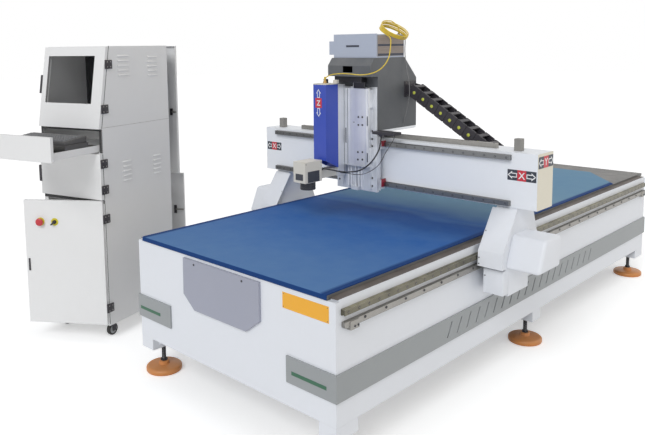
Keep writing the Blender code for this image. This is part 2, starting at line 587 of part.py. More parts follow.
shell = node("cabinet_shell", moved(prism('x', shell_out, -CAB_W, 0.0), CAB), (),
             [moved(cut, CAB) for cut in [room] + ways + pins], colour=(0.68, 0.69, 0.71), rough=0.4)
ledges = ((0.0015 - CAB_W, 0.034 - CAB_W), (-0.034, -0.0015))
extras = [box(u0, u1, 0.0240, CAB_D - 0.036, 1.138, 1.1497) for u0, u1 in ledges]
for z, lean in ((0.205, 0.0), (0.750, 0.0), (0.925, 0.0), (1.080, 0.0), (1.400, 1.0), (1.660, 1.0)):
    v = lean * lean_v(z + 0.018)
    leaf = [(0.0002, v), (0.009, v), (0.009, v + 0.052), (-0.002, v + 0.052), (-0.002, v + 0.021),
            (0.0002, v + 0.021)]
    extras.append(prism('z', leaf, z - 0.018, z + 0.018))
for z in (0.200, 0.800, 1.000, 1.660):
    v = CAB_D + TOUCH_GAP + 0.018
    leaf = [(-CAB_W - 0.0002, v), (-CAB_W - 0.009, v), (-CAB_W - 0.009, v - 0.050),
            (-CAB_W + 0.002, v - 0.050), (-CAB_W + 0.002, v - 0.0194), (-CAB_W - 0.0002, v - 0.0194)]
    extras.append(prism('z', leaf, z - 0.018, z + 0.018))
AXLE_Z = WHEEL_R
rear_wheels = []
axle_v = CAB_D - REAR_CASTER
for u in CASTER_U:
    extras.append(box(u - 0.024, u + 0.024, axle_v - 0.030, axle_v + 0.030, 0.0820, 0.0935))
    for e0, e1 in ((-0.0200, -0.0160), (0.0160, 0.0200)):
        extras.append(box(u + e0, u + e1, axle_v - 0.015, axle_v + 0.015, 0.028, 0.0830))
    extras.append(rod('x', (axle_v, AXLE_Z), 0.0050, u - 0.0190, u + 0.0190, 16))
    rear_wheels.append((u, axle_v))
for i, solid in enumerate(extras):
    helper(f"cabinet_shell.member{i}", moved(solid, CAB), 'UNION', shell)

GLASS_U = (0.040 - CAB_W, -0.080)
z0, z1 = LEAN_Z + 0.002, CAB_HIGH - 0.002
panel = [(lean_v(z0), z0), (lean_v(z0) + DOOR_T, z0), (lean_v(z1) + DOOR_T, z1), (lean_v(z1), z1)]
view = [(lean_v(1.430) - 0.02, 1.430), (lean_v(1.430) + 0.04, 1.430), (lean_v(1.710) + 0.04, 1.710),
        (lean_v(1.710) - 0.02, 1.710)]
pan = [(lean_v(z0 + SHEET) + SHEET, z0 + SHEET), (lean_v(z0 + SHEET) + 0.030, z0 + SHEET),
       (lean_v(z1 - SHEET) + 0.030, z1 - SHEET), (lean_v(z1 - SHEET) + SHEET, z1 - SHEET)]
node("monitor_door", moved(prism('x', panel, -CAB_W + 0.0015, -TOUCH_GAP), CAB), (),
     [moved(prism('x', pan, -CAB_W + 0.0015 + SHEET, -TOUCH_GAP - SHEET), CAB),
      moved(prism('x', view, *GLASS_U), CAB)], origin=CAB @ Vector((0.0, lean_v(z0), z0)),
     colour=(0.70, 0.71, 0.73), rough=0.4)
g0, g1 = 1.430 - GLASS_LAP, 1.710 + GLASS_LAP
p0, p1 = SHEET + TOUCH_GAP, SHEET + TOUCH_GAP + 0.005
pane = [(lean_v(g0) + p0, g0), (lean_v(g0) + p1, g0), (lean_v(g1) + p1, g1), (lean_v(g1) + p0, g1)]
node("monitor_window", moved(prism('x', pane, GLASS_U[0] - GLASS_LAP, GLASS_U[1] + GLASS_LAP), CAB),
     colour=(0.35, 0.38, 0.42), rough=0.1)

tray = box(0.026 - CAB_W, -0.026, -0.350, 0.200, 1.1500, 1.1900)
tray_room = box(0.029 - CAB_W, -0.029, -0.341, 0.197, 1.1540, 1.2500)
node("keyboard_drawer", moved(box(-CAB_W + 0.0015, -0.0015, -0.360, -0.342, 1.1405, 1.2805), CAB),
     [moved(tray, CAB)], [moved(tray_room, CAB)], colour=(0.70, 0.71, 0.73), rough=0.4)

solid, holes = door(-CAB_W + 0.0015, -TOUCH_GAP, 0.0, DOOR_T, 0.8655, 1.1385, (0.0, 0.0, 1.0), 0.0, 1)
node("middle_door", solid, (), holes, origin=CAB @ Vector((0.0, 0.0, 1.000)),
     colour=(0.70, 0.71, 0.73), rough=0.4)

ESTOP = (0.105 - CAB_W, 0.730)
KNOB = (0.195 - CAB_W, 0.730)
low_hinge = (0.0, 0.0, 0.5)
bores = [rod('y', at, 0.0090, -0.01, 0.03, 16) for at in (ESTOP, KNOB)]
solid, holes = door(-CAB_W + 0.0015, -TOUCH_GAP, 0.0, DOOR_T, 0.105, 0.8605, low_hinge, LOWER_OPEN, 1, bores)
node("lower_door", solid, (), holes, origin=CAB @ Vector((0.0, 0.0, 0.480)),
     colour=(0.70, 0.71, 0.73), rough=0.4)
swing = CAB @ Matrix.Rotation(LOWER_OPEN, 4, 'Z')
node("e_stop_button", moved(rod('y', ESTOP, 0.0200, -0.026, -0.012, 24), swing),
     [moved(rod('y', ESTOP, 0.0085, -0.014, 0.030, 16), swing),
      moved(rod('y', ESTOP, 0.0130, SHEET + TOUCH_GAP, 0.030, 16), swing)],
     origin=swing @ Vector((ESTOP[0], -0.012, ESTOP[1])), colour=(0.55, 0.02, 0.02), rough=0.35)
node("selector_switch", moved(rod('y', KNOB, 0.0150, -0.012, -TOUCH_GAP, 24), swing),
     [moved(rod('y', KNOB, 0.0085, -0.005, 0.030, 16), swing),
      moved(rod('y', KNOB, 0.0130, SHEET + TOUCH_GAP, 0.030, 16), swing),
      moved(box(KNOB[0] - 0.003, KNOB[0] + 0.003, -0.022, -0.010, KNOB[1] - 0.013, KNOB[1] + 0.013), swing)],
     origin=swing @ Vector((KNOB[0], -0.012, KNOB[1])), colour=DARK, rough=0.4)

back = CAB_D + TOUCH_GAP
rear_hinge = (-CAB_W, back + 0.018, 0.5)
for word, z0, z1, angle in (("upper", 0.905, 1.763, REAR_UP_OPEN), ("lower", 0.105, 0.895, REAR_LOW_OPEN)):
    solid, holes = door(-CAB_W + TOUCH_GAP, -0.0015, back, back + 0.018, z0, z1, rear_hinge, angle, -1)
    node(f"rear_door_{word}", solid, (), holes, origin=CAB @ Vector((-CAB_W, back + 0.018, (z0 + z1) / 2)),
         colour=(0.66, 0.67, 0.68), rough=0.4)

# Swivel casters at the front: fork with kingpin, axle and wheel
TRAIL = 0.018
for u, word in zip(CASTER_U, ("left", "right")):
    plate = box(u - 0.022, u + 0.022, 0.048, 0.128, 0.0820, 0.0900)
    parts = [box(u + e0, u + e1, 0.080 + TRAIL - 0.014, 0.080 + TRAIL + 0.014, 0.028, 0.0830)
             for e0, e1 in ((-0.0200, -0.0160), (0.0160, 0.0200))]
    parts.append(rod('x', (0.080 + TRAIL, AXLE_Z), 0.0050, u - 0.0190, u + 0.0190, 16))
    parts.append(rod('z', (u, 0.080), 0.0075, 0.0890, 0.1060, 16))
    parts.append(rod('z', (u, 0.080), 0.0120, CAB_LOW + SHEET + RUN_GAP, 0.1060, 16))
    node(f"caster_fork_{word}", moved(plate, CAB), [moved(p, CAB) for p in parts],
         origin=CAB @ Vector((u, 0.080, 0.086)), colour=STEEL, rough=0.4, metal=1.0)
for u, v, word in ((CASTER_U[0], 0.080 + TRAIL, "front_left"), (CASTER_U[1], 0.080 + TRAIL, "front_right"),
                   (*rear_wheels[0], "rear_left"), (*rear_wheels[1], "rear_right")):
    node(f"caster_wheel_{word}", moved(rod('x', (v, AXLE_Z), WHEEL_R, u - 0.0130, u + 0.0130, 32), CAB), (),
         [moved(rod('x', (v, AXLE_Z), 0.0056, u - 0.030, u + 0.030, 16), CAB)],
         origin=CAB @ Vector((u, v, AXLE_Z)), colour=DARK, rough=0.6)

# Origin under the middle of the whole object
bpy.context.view_layer.update()
graph = bpy.context.evaluated_depsgraph_get()
low = Vector((1e9, 1e9, 1e9))
high = Vector((-1e9, -1e9, -1e9))
for piece in nodes:
    real = piece.evaluated_get(graph)
    for vertex in real.to_mesh().vertices:
        spot = real.matrix_world @ vertex.co
        low = Vector(map(min, low, spot))
        high = Vector(map(max, high, spot))
    real.to_mesh_clear()
shift = Vector((-(low.x + high.x) / 2, -(low.y + high.y) / 2, -low.z))
for piece in list(bpy.data.objects):
    piece.location += shift
print(f"pieces {len(nodes)}, moved by {shift.x:.6f} {shift.y:.6f} {shift.z:.6f}")
print(f"size {high.x - low.x:.4f} {high.y - low.y:.4f} {high.z - low.z:.4f}")
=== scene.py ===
# %% [markdown]
# # A gantry engraver and its control cabinet
# The machine is a white steel bed with a bridge that rolls along it. A carriage crosses the bridge, a slide on
# the carriage lifts a small scan head, and a tall cabinet stands beside the bed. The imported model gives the
# bodies and their joints. This lesson dresses it, piece by piece, in the places that the model already fixes.

# %% Load the frame and find the bed
import math

import bmesh
import bpy
from mathutils import Matrix, Vector


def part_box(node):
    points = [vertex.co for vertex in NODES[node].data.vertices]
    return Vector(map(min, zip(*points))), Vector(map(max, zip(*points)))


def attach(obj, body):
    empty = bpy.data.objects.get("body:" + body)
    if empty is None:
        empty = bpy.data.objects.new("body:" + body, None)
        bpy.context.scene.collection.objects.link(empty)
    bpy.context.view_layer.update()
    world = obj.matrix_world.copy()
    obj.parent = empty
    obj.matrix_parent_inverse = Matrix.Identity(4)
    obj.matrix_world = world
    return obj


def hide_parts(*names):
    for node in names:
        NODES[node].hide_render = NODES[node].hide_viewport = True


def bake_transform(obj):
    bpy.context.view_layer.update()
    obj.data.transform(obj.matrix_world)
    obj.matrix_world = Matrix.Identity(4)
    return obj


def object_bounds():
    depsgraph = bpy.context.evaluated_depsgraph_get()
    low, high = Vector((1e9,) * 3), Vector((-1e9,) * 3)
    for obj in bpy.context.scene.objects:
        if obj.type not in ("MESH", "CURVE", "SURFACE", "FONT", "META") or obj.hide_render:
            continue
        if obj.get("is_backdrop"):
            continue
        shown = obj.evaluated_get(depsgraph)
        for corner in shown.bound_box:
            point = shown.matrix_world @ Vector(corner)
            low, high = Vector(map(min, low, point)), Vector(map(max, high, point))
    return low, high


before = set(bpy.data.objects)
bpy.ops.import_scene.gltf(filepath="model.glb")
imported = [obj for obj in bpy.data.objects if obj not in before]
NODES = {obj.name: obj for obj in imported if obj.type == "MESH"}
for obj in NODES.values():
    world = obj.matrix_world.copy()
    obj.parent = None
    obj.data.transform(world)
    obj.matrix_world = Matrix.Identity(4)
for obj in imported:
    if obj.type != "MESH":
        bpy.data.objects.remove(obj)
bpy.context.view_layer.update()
bed_low, bed_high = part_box("bed_frame")
BED = Vector(((bed_low[0] + bed_high[0]) / 2, bed_low[1], 0.0))
TO_BED = Matrix.Translation(BED)
CABINET = TO_BED @ Matrix.Translation((-1.174, 0.0644, 0.0)) @ Matrix.Rotation(0.273, 4, "Z")
print("bed origin", tuple(round(c, 5) for c in BED), "nodes", len(NODES))

# %% [markdown]
# ## The camera
# The photograph was taken by someone standing in front of the bed's right corner, a little above the bridge.
# A real camera is described by where it stands, where it points and its lens. The picture is also shifted,
# because it was cropped, so the lens shift is kept and the camera is not tipped to hide it. All places below
# are in bed measure: x from the bed's centre line, y from its front, z from the floor.

# %% Camera
EYE = Vector((2.4761, -2.0230, 1.7515))
EYE_TURN = math.radians(44.65)
EYE_DOWN = math.radians(6.54)
EYE_ROLL = math.radians(-0.77)
back = Vector((math.sin(EYE_TURN) * math.cos(EYE_DOWN), -math.cos(EYE_TURN) * math.cos(EYE_DOWN),
               math.sin(EYE_DOWN)))
level = Vector((0, 0, 1)).cross(back).normalized()
upright = back.cross(level)
right = level * math.cos(EYE_ROLL) + upright * math.sin(EYE_ROLL)
top = upright * math.cos(EYE_ROLL) - level * math.sin(EYE_ROLL)
lens = bpy.data.cameras.new("camera")
lens.lens = 39.21
lens.sensor_width = 36.0
lens.shift_x = 0.0449
lens.shift_y = -0.1408
lens.clip_end = 100.0
camera = bpy.data.objects.new("camera", lens)
camera.matrix_world = Matrix.Translation(BED + EYE) @ Matrix((right, top, back)).transposed().to_4x4()
bpy.context.scene.collection.objects.link(camera)
bpy.context.scene.camera = camera
bpy.context.scene.view_settings.view_transform = "Standard"
print("camera at", tuple(round(c, 3) for c in camera.location))

# %% [markdown]
# ## Small tools for nodes
# Shader trees and geometry trees are both nodes with sockets. One helper adds a node, sets it, and fills each
# socket with a value or with another node's output, so every tree below reads as a list of what feeds what.

# %% Node helpers
def add(tree, kind, feeds=None, **settings):
    """A node with its settings; a socket is fed a value or another node's output."""
    made = tree.nodes.new(kind)
    for key, value in settings.items():
        setattr(made, key, value)
    for socket, value in (feeds or {}).items():
        if isinstance(value, bpy.types.NodeSocket):
            tree.links.new(value, made.inputs[socket])
        else:
            made.inputs[socket].default_value = value
    return made


def rgb(red, green, blue):
    """A screen colour, 0 to 255, as the linear colour that a shader takes."""
    parts = [c / 255 for c in (red, green, blue)]
    return (*[c / 12.92 if c <= 0.04045 else ((c + 0.055) / 1.055) ** 2.4 for c in parts], 1.0)


def effect(name, takes, gives):
    """A shader node group with named inputs and outputs, and its two end nodes."""
    tree = bpy.data.node_groups.new(name, "ShaderNodeTree")
    for label, kind, value in takes:
        socket = tree.interface.new_socket(label, in_out="INPUT", socket_type=kind)
        if value is not None:
            socket.default_value = value
    for label, kind in gives:
        tree.interface.new_socket(label, in_out="OUTPUT", socket_type=kind)
    return tree, tree.nodes.new("NodeGroupInput"), tree.nodes.new("NodeGroupOutput")


COLOUR, NUMBER, VECTOR = "NodeSocketColor", "NodeSocketFloat", "NodeSocketVector"
print("white as a shader colour", rgb(228, 231, 238)[:3])

# %% [markdown]
# ## Light and floor
# The picture has plain, soft daylight: the front is bright and a little cool, the long right side is dimmer and
# warmer, and the ground is white. A pale sky, one broad sun from the front right and a weak warm one from the
# right give that. The sky shows as white to the camera and in reflections only, so it doesn't add light.

# %% World, two suns and the floor
SKY_LEVEL = 0.50
world = bpy.data.worlds.new("studio")
world.use_nodes = True
bpy.context.scene.world = world
sky = world.node_tree
sky.nodes.clear()
path = add(sky, "ShaderNodeLightPath")
seen = add(sky, "ShaderNodeMath", {0: path.outputs["Is Camera Ray"], 1: path.outputs["Is Glossy Ray"]},
           operation="MAXIMUM")
seen = add(sky, "ShaderNodeMath", {0: seen.outputs[0], 1: path.outputs["Is Transmission Ray"]}, operation="MAXIMUM")
glow = add(sky, "ShaderNodeBackground", {"Color": (0.97, 0.98, 1.0, 1.0), "Strength": SKY_LEVEL})
white = add(sky, "ShaderNodeBackground", {"Color": (1.0, 1.0, 1.0, 1.0), "Strength": 1.0})
both = add(sky, "ShaderNodeMixShader", {0: seen.outputs[0], 1: glow.outputs[0], 2: white.outputs[0]})
add(sky, "ShaderNodeOutputWorld", {"Surface": both.outputs[0]})


def sun(name, travels, strength, spread, colour):
    """A sun whose light travels along a direction; spread is its width in degrees."""
    lamp = bpy.data.lights.new(name, "SUN")
    lamp.energy = strength
    lamp.angle = math.radians(spread)
    lamp.color = colour
    made = bpy.data.objects.new(name, lamp)
    made.rotation_euler = Vector(travels).to_track_quat("-Z", "Y").to_euler()
    bpy.context.scene.collection.objects.link(made)


sun("window_light", (-0.28, 0.72, -0.63), 1.25, 30.0, (0.98, 0.99, 1.0))
sun("wall_bounce", (-0.78, -0.48, -0.40), 0.36, 60.0, (1.0, 0.89, 0.70))

floor_paint = bpy.data.materials.new("floor")
floor_paint.use_nodes = True
tree = floor_paint.node_tree
tree.nodes.clear()
path = add(tree, "ShaderNodeLightPath")
seen = add(tree, "ShaderNodeMath", {0: path.outputs["Is Camera Ray"], 1: path.outputs["Is Glossy Ray"]},
           operation="MAXIMUM")
seen = add(tree, "ShaderNodeMath", {0: seen.outputs[0], 1: path.outputs["Is Transmission Ray"]}, operation="MAXIMUM")
spots = add(tree, "ShaderNodeTexNoise", {"Scale": 1.5, "Detail": 2.0})
tint = add(tree, "ShaderNodeMix", {0: spots.outputs[0], 6: rgb(246, 246, 246), 7: rgb(250, 250, 249)},
           data_type="RGBA")
matt = add(tree, "ShaderNodeBsdfDiffuse", {"Color": tint.outputs[2]})
lift = add(tree, "ShaderNodeMath", {0: seen.outputs[0], 1: 0.36}, operation="MULTIPLY")
shine = add(tree, "ShaderNodeEmission", {"Strength": lift.outputs[0]})
whole = add(tree, "ShaderNodeAddShader", {0: matt.outputs[0], 1: shine.outputs[0]})
add(tree, "ShaderNodeOutputMaterial", {"Surface": whole.outputs[0]})
ground = bmesh.new()
bmesh.ops.create_circle(ground, cap_ends=True, segments=64, radius=40.0)
floor_mesh = bpy.data.meshes.new("floor")
ground.to_mesh(floor_mesh)
ground.free()
floor_mesh.materials.append(floor_paint)
floor = bpy.data.objects.new("floor", floor_mesh)
bpy.context.scene.collection.objects.link(floor)
floor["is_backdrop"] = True
print("sky level", SKY_LEVEL, "and two suns")

# %% [markdown]
# ## Effects that many finishes share
# Powder coat has a fine orange peel and is never quite even. Folded sheet has round corners, which the flat
# model lacks, so a shader group looks round each edge and bends the normal there; the same look gives a mask of
# the corners, where paint rubs thin. What faces up gathers dust; on the side rails the same group, with a pale tint,
# paints the tops lighter as a painted highlight. Extruded and ground metal shows fine lines along its length.
# Each is one node group, used with other values in each finish.

# %% Shader groups
coat, takes, gives = effect("coat_grain", [("Colour", COLOUR, (0.8, 0.8, 0.8, 1)), ("Fleck", NUMBER, 0.04),
                                           ("Peel", NUMBER, 420.0)],
                            [("Colour", COLOUR), ("Rough", NUMBER), ("Height", NUMBER)])
where = add(coat, "ShaderNodeTexCoord").outputs["Object"]
slow = add(coat, "ShaderNodeTexNoise", {"Vector": where, "Scale": 2.3, "Detail": 4.0, "Roughness": 0.55})
fine = add(coat, "ShaderNodeTexNoise", {"Vector": where, "Scale": 38.0, "Detail": 3.0})
peel = add(coat, "ShaderNodeTexNoise", {"Vector": where, "Scale": takes.outputs["Peel"], "Detail": 1.5})
mixed = add(coat, "ShaderNodeMath", {0: fine.outputs[0], 1: 0.35, 2: slow.outputs[0]}, operation="MULTIPLY_ADD")
drift = add(coat, "ShaderNodeMath", {0: mixed.outputs[0], 1: 0.675}, operation="SUBTRACT")
light = add(coat, "ShaderNodeMath", {0: drift.outputs[0], 1: takes.outputs["Fleck"], 2: 1.0},
            operation="MULTIPLY_ADD")
toned = add(coat, "ShaderNodeHueSaturation", {"Color": takes.outputs["Colour"], "Value": light.outputs[0]})
coat.links.new(toned.outputs[0], gives.inputs["Colour"])
coat.links.new(mixed.outputs[0], gives.inputs["Rough"])
coat.links.new(peel.outputs[0], gives.inputs["Height"])

corner, takes, gives = effect("soft_corner", [("Radius", NUMBER, 0.002)], [("Normal", VECTOR), ("Edge", NUMBER)])
bent = add(corner, "ShaderNodeBevel", {"Radius": takes.outputs["Radius"]}, samples=4)
flat = add(corner, "ShaderNodeNewGeometry").outputs["Normal"]
same = add(corner, "ShaderNodeVectorMath", {0: bent.outputs[0], 1: flat}, operation="DOT_PRODUCT")
edge = add(corner, "ShaderNodeMapRange", {"Value": same.outputs["Value"], "From Min": 0.995, "From Max": 0.80,
                                          "To Min": 0.0, "To Max": 1.0})
corner.links.new(bent.outputs[0], gives.inputs["Normal"])
corner.links.new(edge.outputs[0], gives.inputs["Edge"])

dust_and_sheen, takes, gives = effect("shop_dust", [("Colour", COLOUR, (0.5, 0.5, 0.5, 1)), ("Dust", COLOUR, rgb(196, 190, 180)),
                                          ("Amount", NUMBER, 0.15)], [("Colour", COLOUR), ("Mask", NUMBER)])
where = add(dust_and_sheen, "ShaderNodeTexCoord").outputs["Object"]
face = add(dust_and_sheen, "ShaderNodeSeparateXYZ", {0: add(dust_and_sheen, "ShaderNodeNewGeometry").outputs["Normal"]})
cloud = add(dust_and_sheen, "ShaderNodeTexNoise", {"Vector": where, "Scale": 9.0, "Detail": 6.0, "Roughness": 0.65})
upward = add(dust_and_sheen, "ShaderNodeMapRange", {"Value": face.outputs["Z"], "From Min": -0.2, "From Max": 1.0,
                                          "To Min": 0.12, "To Max": 1.0})
patch = add(dust_and_sheen, "ShaderNodeMapRange", {"Value": cloud.outputs[0], "From Min": 0.34, "From Max": 0.70})
laid = add(dust_and_sheen, "ShaderNodeMath", {0: upward.outputs[0], 1: patch.outputs[0]}, operation="MULTIPLY")
share = add(dust_and_sheen, "ShaderNodeMath", {0: laid.outputs[0], 1: takes.outputs["Amount"]}, operation="MULTIPLY")
covered = add(dust_and_sheen, "ShaderNodeMix", {0: share.outputs[0], 6: takes.outputs["Colour"], 7: takes.outputs["Dust"]},
              data_type="RGBA")
dust_and_sheen.links.new(covered.outputs[2], gives.inputs["Colour"])
dust_and_sheen.links.new(share.outputs[0], gives.inputs["Mask"])

drawn, takes, gives = effect("drawn_lines", [("Stretch", VECTOR, (300.0, 2.0, 300.0))],
                             [("Line", NUMBER), ("Height", NUMBER)])
where = add(drawn, "ShaderNodeTexCoord").outputs["Object"]
pulled = add(drawn, "ShaderNodeVectorMath", {0: where, 1: takes.outputs["Stretch"]}, operation="MULTIPLY")
lines = add(drawn, "ShaderNodeTexNoise", {"Vector": pulled.outputs[0], "Scale": 1.0, "Detail": 4.0, "Roughness": 0.6})
broad = add(drawn, "ShaderNodeTexNoise", {"Vector": where, "Scale": 14.0, "Detail": 2.0})
shade = add(drawn, "ShaderNodeMath", {0: broad.outputs[0], 1: 0.5, 2: lines.outputs[0]}, operation="MULTIPLY_ADD")
drawn.links.new(shade.outputs[0], gives.inputs["Line"])
drawn.links.new(lines.outputs[0], gives.inputs["Height"])
print("shader groups:", coat.name, corner.name, dust_and_sheen.name, drawn.name)

# %% [markdown]
# ## The finishes
# Three recipes cover most of the machine. Sheet and castings are powder coated. Rails, racks and plates are bare
# metal. Chain, switches and tyres are moulded. A recipe takes one colour and a few values, and links the shared
# effects to the shader that stays in the material.

# %% Finish recipes
def start(name):
    """A new material and its main shader."""
    made = bpy.data.materials.new(name)
    made.use_nodes = True
    return made, made.node_tree, made.node_tree.nodes["Principled BSDF"]


def painted(name, colour, rough=0.42, fleck=0.10, peel=420.0, bump=0.06, radius=0.0025, dusty=0.10, worn=None,
            wear=0.0):
    """Powder-coated sheet: peel in the coat, round corners, thin dust, and paint rubbed off the corners."""
    made, tree, shader = start(name)
    grain = add(tree, "ShaderNodeGroup", {"Colour": colour, "Fleck": fleck, "Peel": peel}, node_tree=coat)
    folded = add(tree, "ShaderNodeGroup", {"Radius": radius}, node_tree=corner)
    tone = grain.outputs["Colour"]
    if worn:
        rub = add(tree, "ShaderNodeMath", {0: folded.outputs["Edge"], 1: grain.outputs["Rough"]}, operation="MULTIPLY")
        rub = add(tree, "ShaderNodeMath", {0: rub.outputs[0], 1: wear}, operation="MULTIPLY")
        tone = add(tree, "ShaderNodeMix", {0: rub.outputs[0], 6: tone, 7: worn}, data_type="RGBA").outputs[2]
    settled = add(tree, "ShaderNodeGroup", {"Colour": tone, "Amount": dusty}, node_tree=dust_and_sheen)
    tree.links.new(settled.outputs["Colour"], shader.inputs["Base Color"])
    sheen = add(tree, "ShaderNodeMapRange", {"Value": grain.outputs["Rough"], "From Min": 0.35, "From Max": 1.0,
                                             "To Min": rough - 0.06, "To Max": rough + 0.08})
    tree.links.new(sheen.outputs[0], shader.inputs["Roughness"])
    raised = add(tree, "ShaderNodeBump", {"Strength": bump, "Distance": 0.001, "Height": grain.outputs["Height"],
                                          "Normal": folded.outputs["Normal"]})
    tree.links.new(raised.outputs[0], shader.inputs["Normal"])
    return made


def bare(name, colour, rough=0.34, stretch=(300.0, 2.0, 300.0), contrast=0.22, bump=0.05, radius=0.0008, dusty=0.12,
         metal=1.0, grime_and_sheen=rgb(96, 88, 78)):
    """Drawn, milled or ground metal: fine lines along its length, bright corners and a little grime on what faces up;
    the side rails' pale tint there is a painted highlight.
    """
    made, tree, shader = start(name)
    shader.inputs["Metallic"].default_value = metal
    ground_by = add(tree, "ShaderNodeGroup", {"Stretch": stretch}, node_tree=drawn)
    folded = add(tree, "ShaderNodeGroup", {"Radius": radius}, node_tree=corner)
    dark = tuple(c * (1 - contrast) for c in colour[:3]) + (1.0,)
    pale = tuple(min(1.0, c * (1 + contrast)) for c in colour[:3]) + (1.0,)
    tone = add(tree, "ShaderNodeMix", {0: ground_by.outputs["Line"], 6: dark, 7: pale}, data_type="RGBA")
    bright = add(tree, "ShaderNodeMath", {0: folded.outputs["Edge"], 1: 0.45}, operation="MULTIPLY")
    tone = add(tree, "ShaderNodeMix", {0: bright.outputs[0], 6: tone.outputs[2], 7: rgb(226, 228, 230)},
               data_type="RGBA")
    settled = add(tree, "ShaderNodeGroup", {"Colour": tone.outputs[2], "Dust": grime_and_sheen, "Amount": dusty},
                  node_tree=dust_and_sheen)
    tree.links.new(settled.outputs["Colour"], shader.inputs["Base Color"])
    sheen = add(tree, "ShaderNodeMapRange", {"Value": ground_by.outputs["Line"], "From Min": 0.3, "From Max": 1.1,
                                             "To Min": rough - 0.08, "To Max": rough + 0.12})
    tree.links.new(sheen.outputs[0], shader.inputs["Roughness"])
    raised = add(tree, "ShaderNodeBump", {"Strength": bump, "Distance": 0.001, "Height": ground_by.outputs["Height"],
                                          "Normal": folded.outputs["Normal"]})
    tree.links.new(raised.outputs[0], shader.inputs["Normal"])
    return made


def moulded(name, colour, rough=0.5, fleck=0.18, peel=900.0, bump=0.10, radius=0.0008, dusty=0.10,
            worn=rgb(120, 118, 118), wear=0.35):
    """Moulded plastic or rubber: fine pebble, dust, and corners gone pale with handling."""
    return painted(name, colour, rough, fleck, peel, bump, radius, dusty, worn, wear)


# Painted light: the beam wears the bed's white paint made brighter, standing in for light it lacks above the mat.
beam_paint = painted("beam_paint", rgb(243, 246, 251), 0.40, 0.05, worn=rgb(204, 204, 202), wear=0.30)
tree = beam_paint.node_tree
skin = tree.nodes["Principled BSDF"].inputs["Base Color"]
# Painted warm light: the beam's two end faces are tinted cream, as if lit warmly from the right.
spot = add(tree, "ShaderNodeSeparateXYZ", {0: add(tree, "ShaderNodeTexCoord").outputs["Object"]})
aside = add(tree, "ShaderNodeMath", {0: spot.outputs["X"], 1: BED.x}, operation="SUBTRACT")
aside = add(tree, "ShaderNodeMath", {0: aside.outputs[0]}, operation="ABSOLUTE")
warm_lit_end = add(tree, "ShaderNodeMapRange", {"Value": aside.outputs[0], "From Min": 0.9566, "From Max": 0.9576})
warm_light_tint = add(tree, "ShaderNodeMix", {0: warm_lit_end.outputs[0], 6: skin.links[0].from_socket, 7: rgb(228, 222, 204)},
             data_type="RGBA")
tree.links.new(warm_light_tint.outputs[2], skin)
white_paint = painted("white_paint", rgb(230, 233, 239), 0.40, 0.05, worn=rgb(196, 196, 194), wear=0.30)
cabinet_paint = painted("cabinet_paint", rgb(235, 235, 235), 0.46, 0.05, worn=rgb(190, 188, 184), wear=0.30)
cabinet_inside = painted("cabinet_inside", rgb(168, 164, 160), 0.55, 0.12, dusty=0.22)
trim_paint = painted("trim_paint", rgb(152, 156, 158), 0.42, 0.08, worn=rgb(196, 198, 200), wear=0.55)
cover_paint = painted("cover_paint", rgb(160, 163, 178), 0.44, 0.07, worn=rgb(200, 202, 208), wear=0.35)
hood_paint = painted("hood_paint", rgb(92, 95, 99), 0.48, 0.14, worn=rgb(150, 152, 154), wear=0.45, dusty=0.16)
laser_paint = painted("laser_paint", rgb(178, 186, 203), 0.38, 0.06, worn=rgb(214, 216, 220), wear=0.35)
column_paint = painted("column_paint", rgb(54, 80, 186), 0.30, 0.10, 300.0, 0.04, 0.0015, 0.05,
                       worn=rgb(150, 165, 215), wear=0.35)
head_paint = painted("head_paint", rgb(224, 219, 207), 0.44, 0.06, radius=0.003)
alloy = bare("drawn_alloy", rgb(220, 222, 226), 0.44, (420.0, 420.0, 3.0), 0.16, 0.06, metal=0.72)
alloy_x = bare("drawn_alloy_across", rgb(200, 203, 209), 0.36, (3.0, 420.0, 420.0), 0.16, 0.06)
# Painted highlight: the side rails' pale yellow tint lightens their upward faces, partly as dust and partly as the
# light their tops catch.
rail_steel_y = bare("rail_steel_along", rgb(100, 97, 86), 0.30, (600.0, 3.0, 600.0), 0.24, 0.04, dusty=0.45,
                    grime_and_sheen=rgb(206, 200, 170))
rail_steel_x = bare("rail_steel_across", rgb(122, 123, 124), 0.30, (3.0, 600.0, 600.0), 0.24, 0.04)
rack_steel = bare("rack_steel", rgb(148, 146, 142), 0.42, (90.0, 90.0, 90.0), 0.26, 0.08, dusty=0.30)
dark_steel = bare("oiled_steel", rgb(54, 54, 58), 0.42, (160.0, 160.0, 160.0), 0.30, 0.06, metal=0.85)
black_plastic = moulded("chain_plastic", rgb(46, 43, 50), 0.46)
black_rubber = moulded("black_rubber", rgb(34, 34, 36), 0.72, peel=700.0, dusty=0.20)
print("finishes made:", len(bpy.data.materials))

# %% [markdown]
# ## Give each solid its finish
# A model node whose shape is right stays and only changes its finish. The others are replaced further on, and
# have a finish here as well, so that nothing is ever bare.

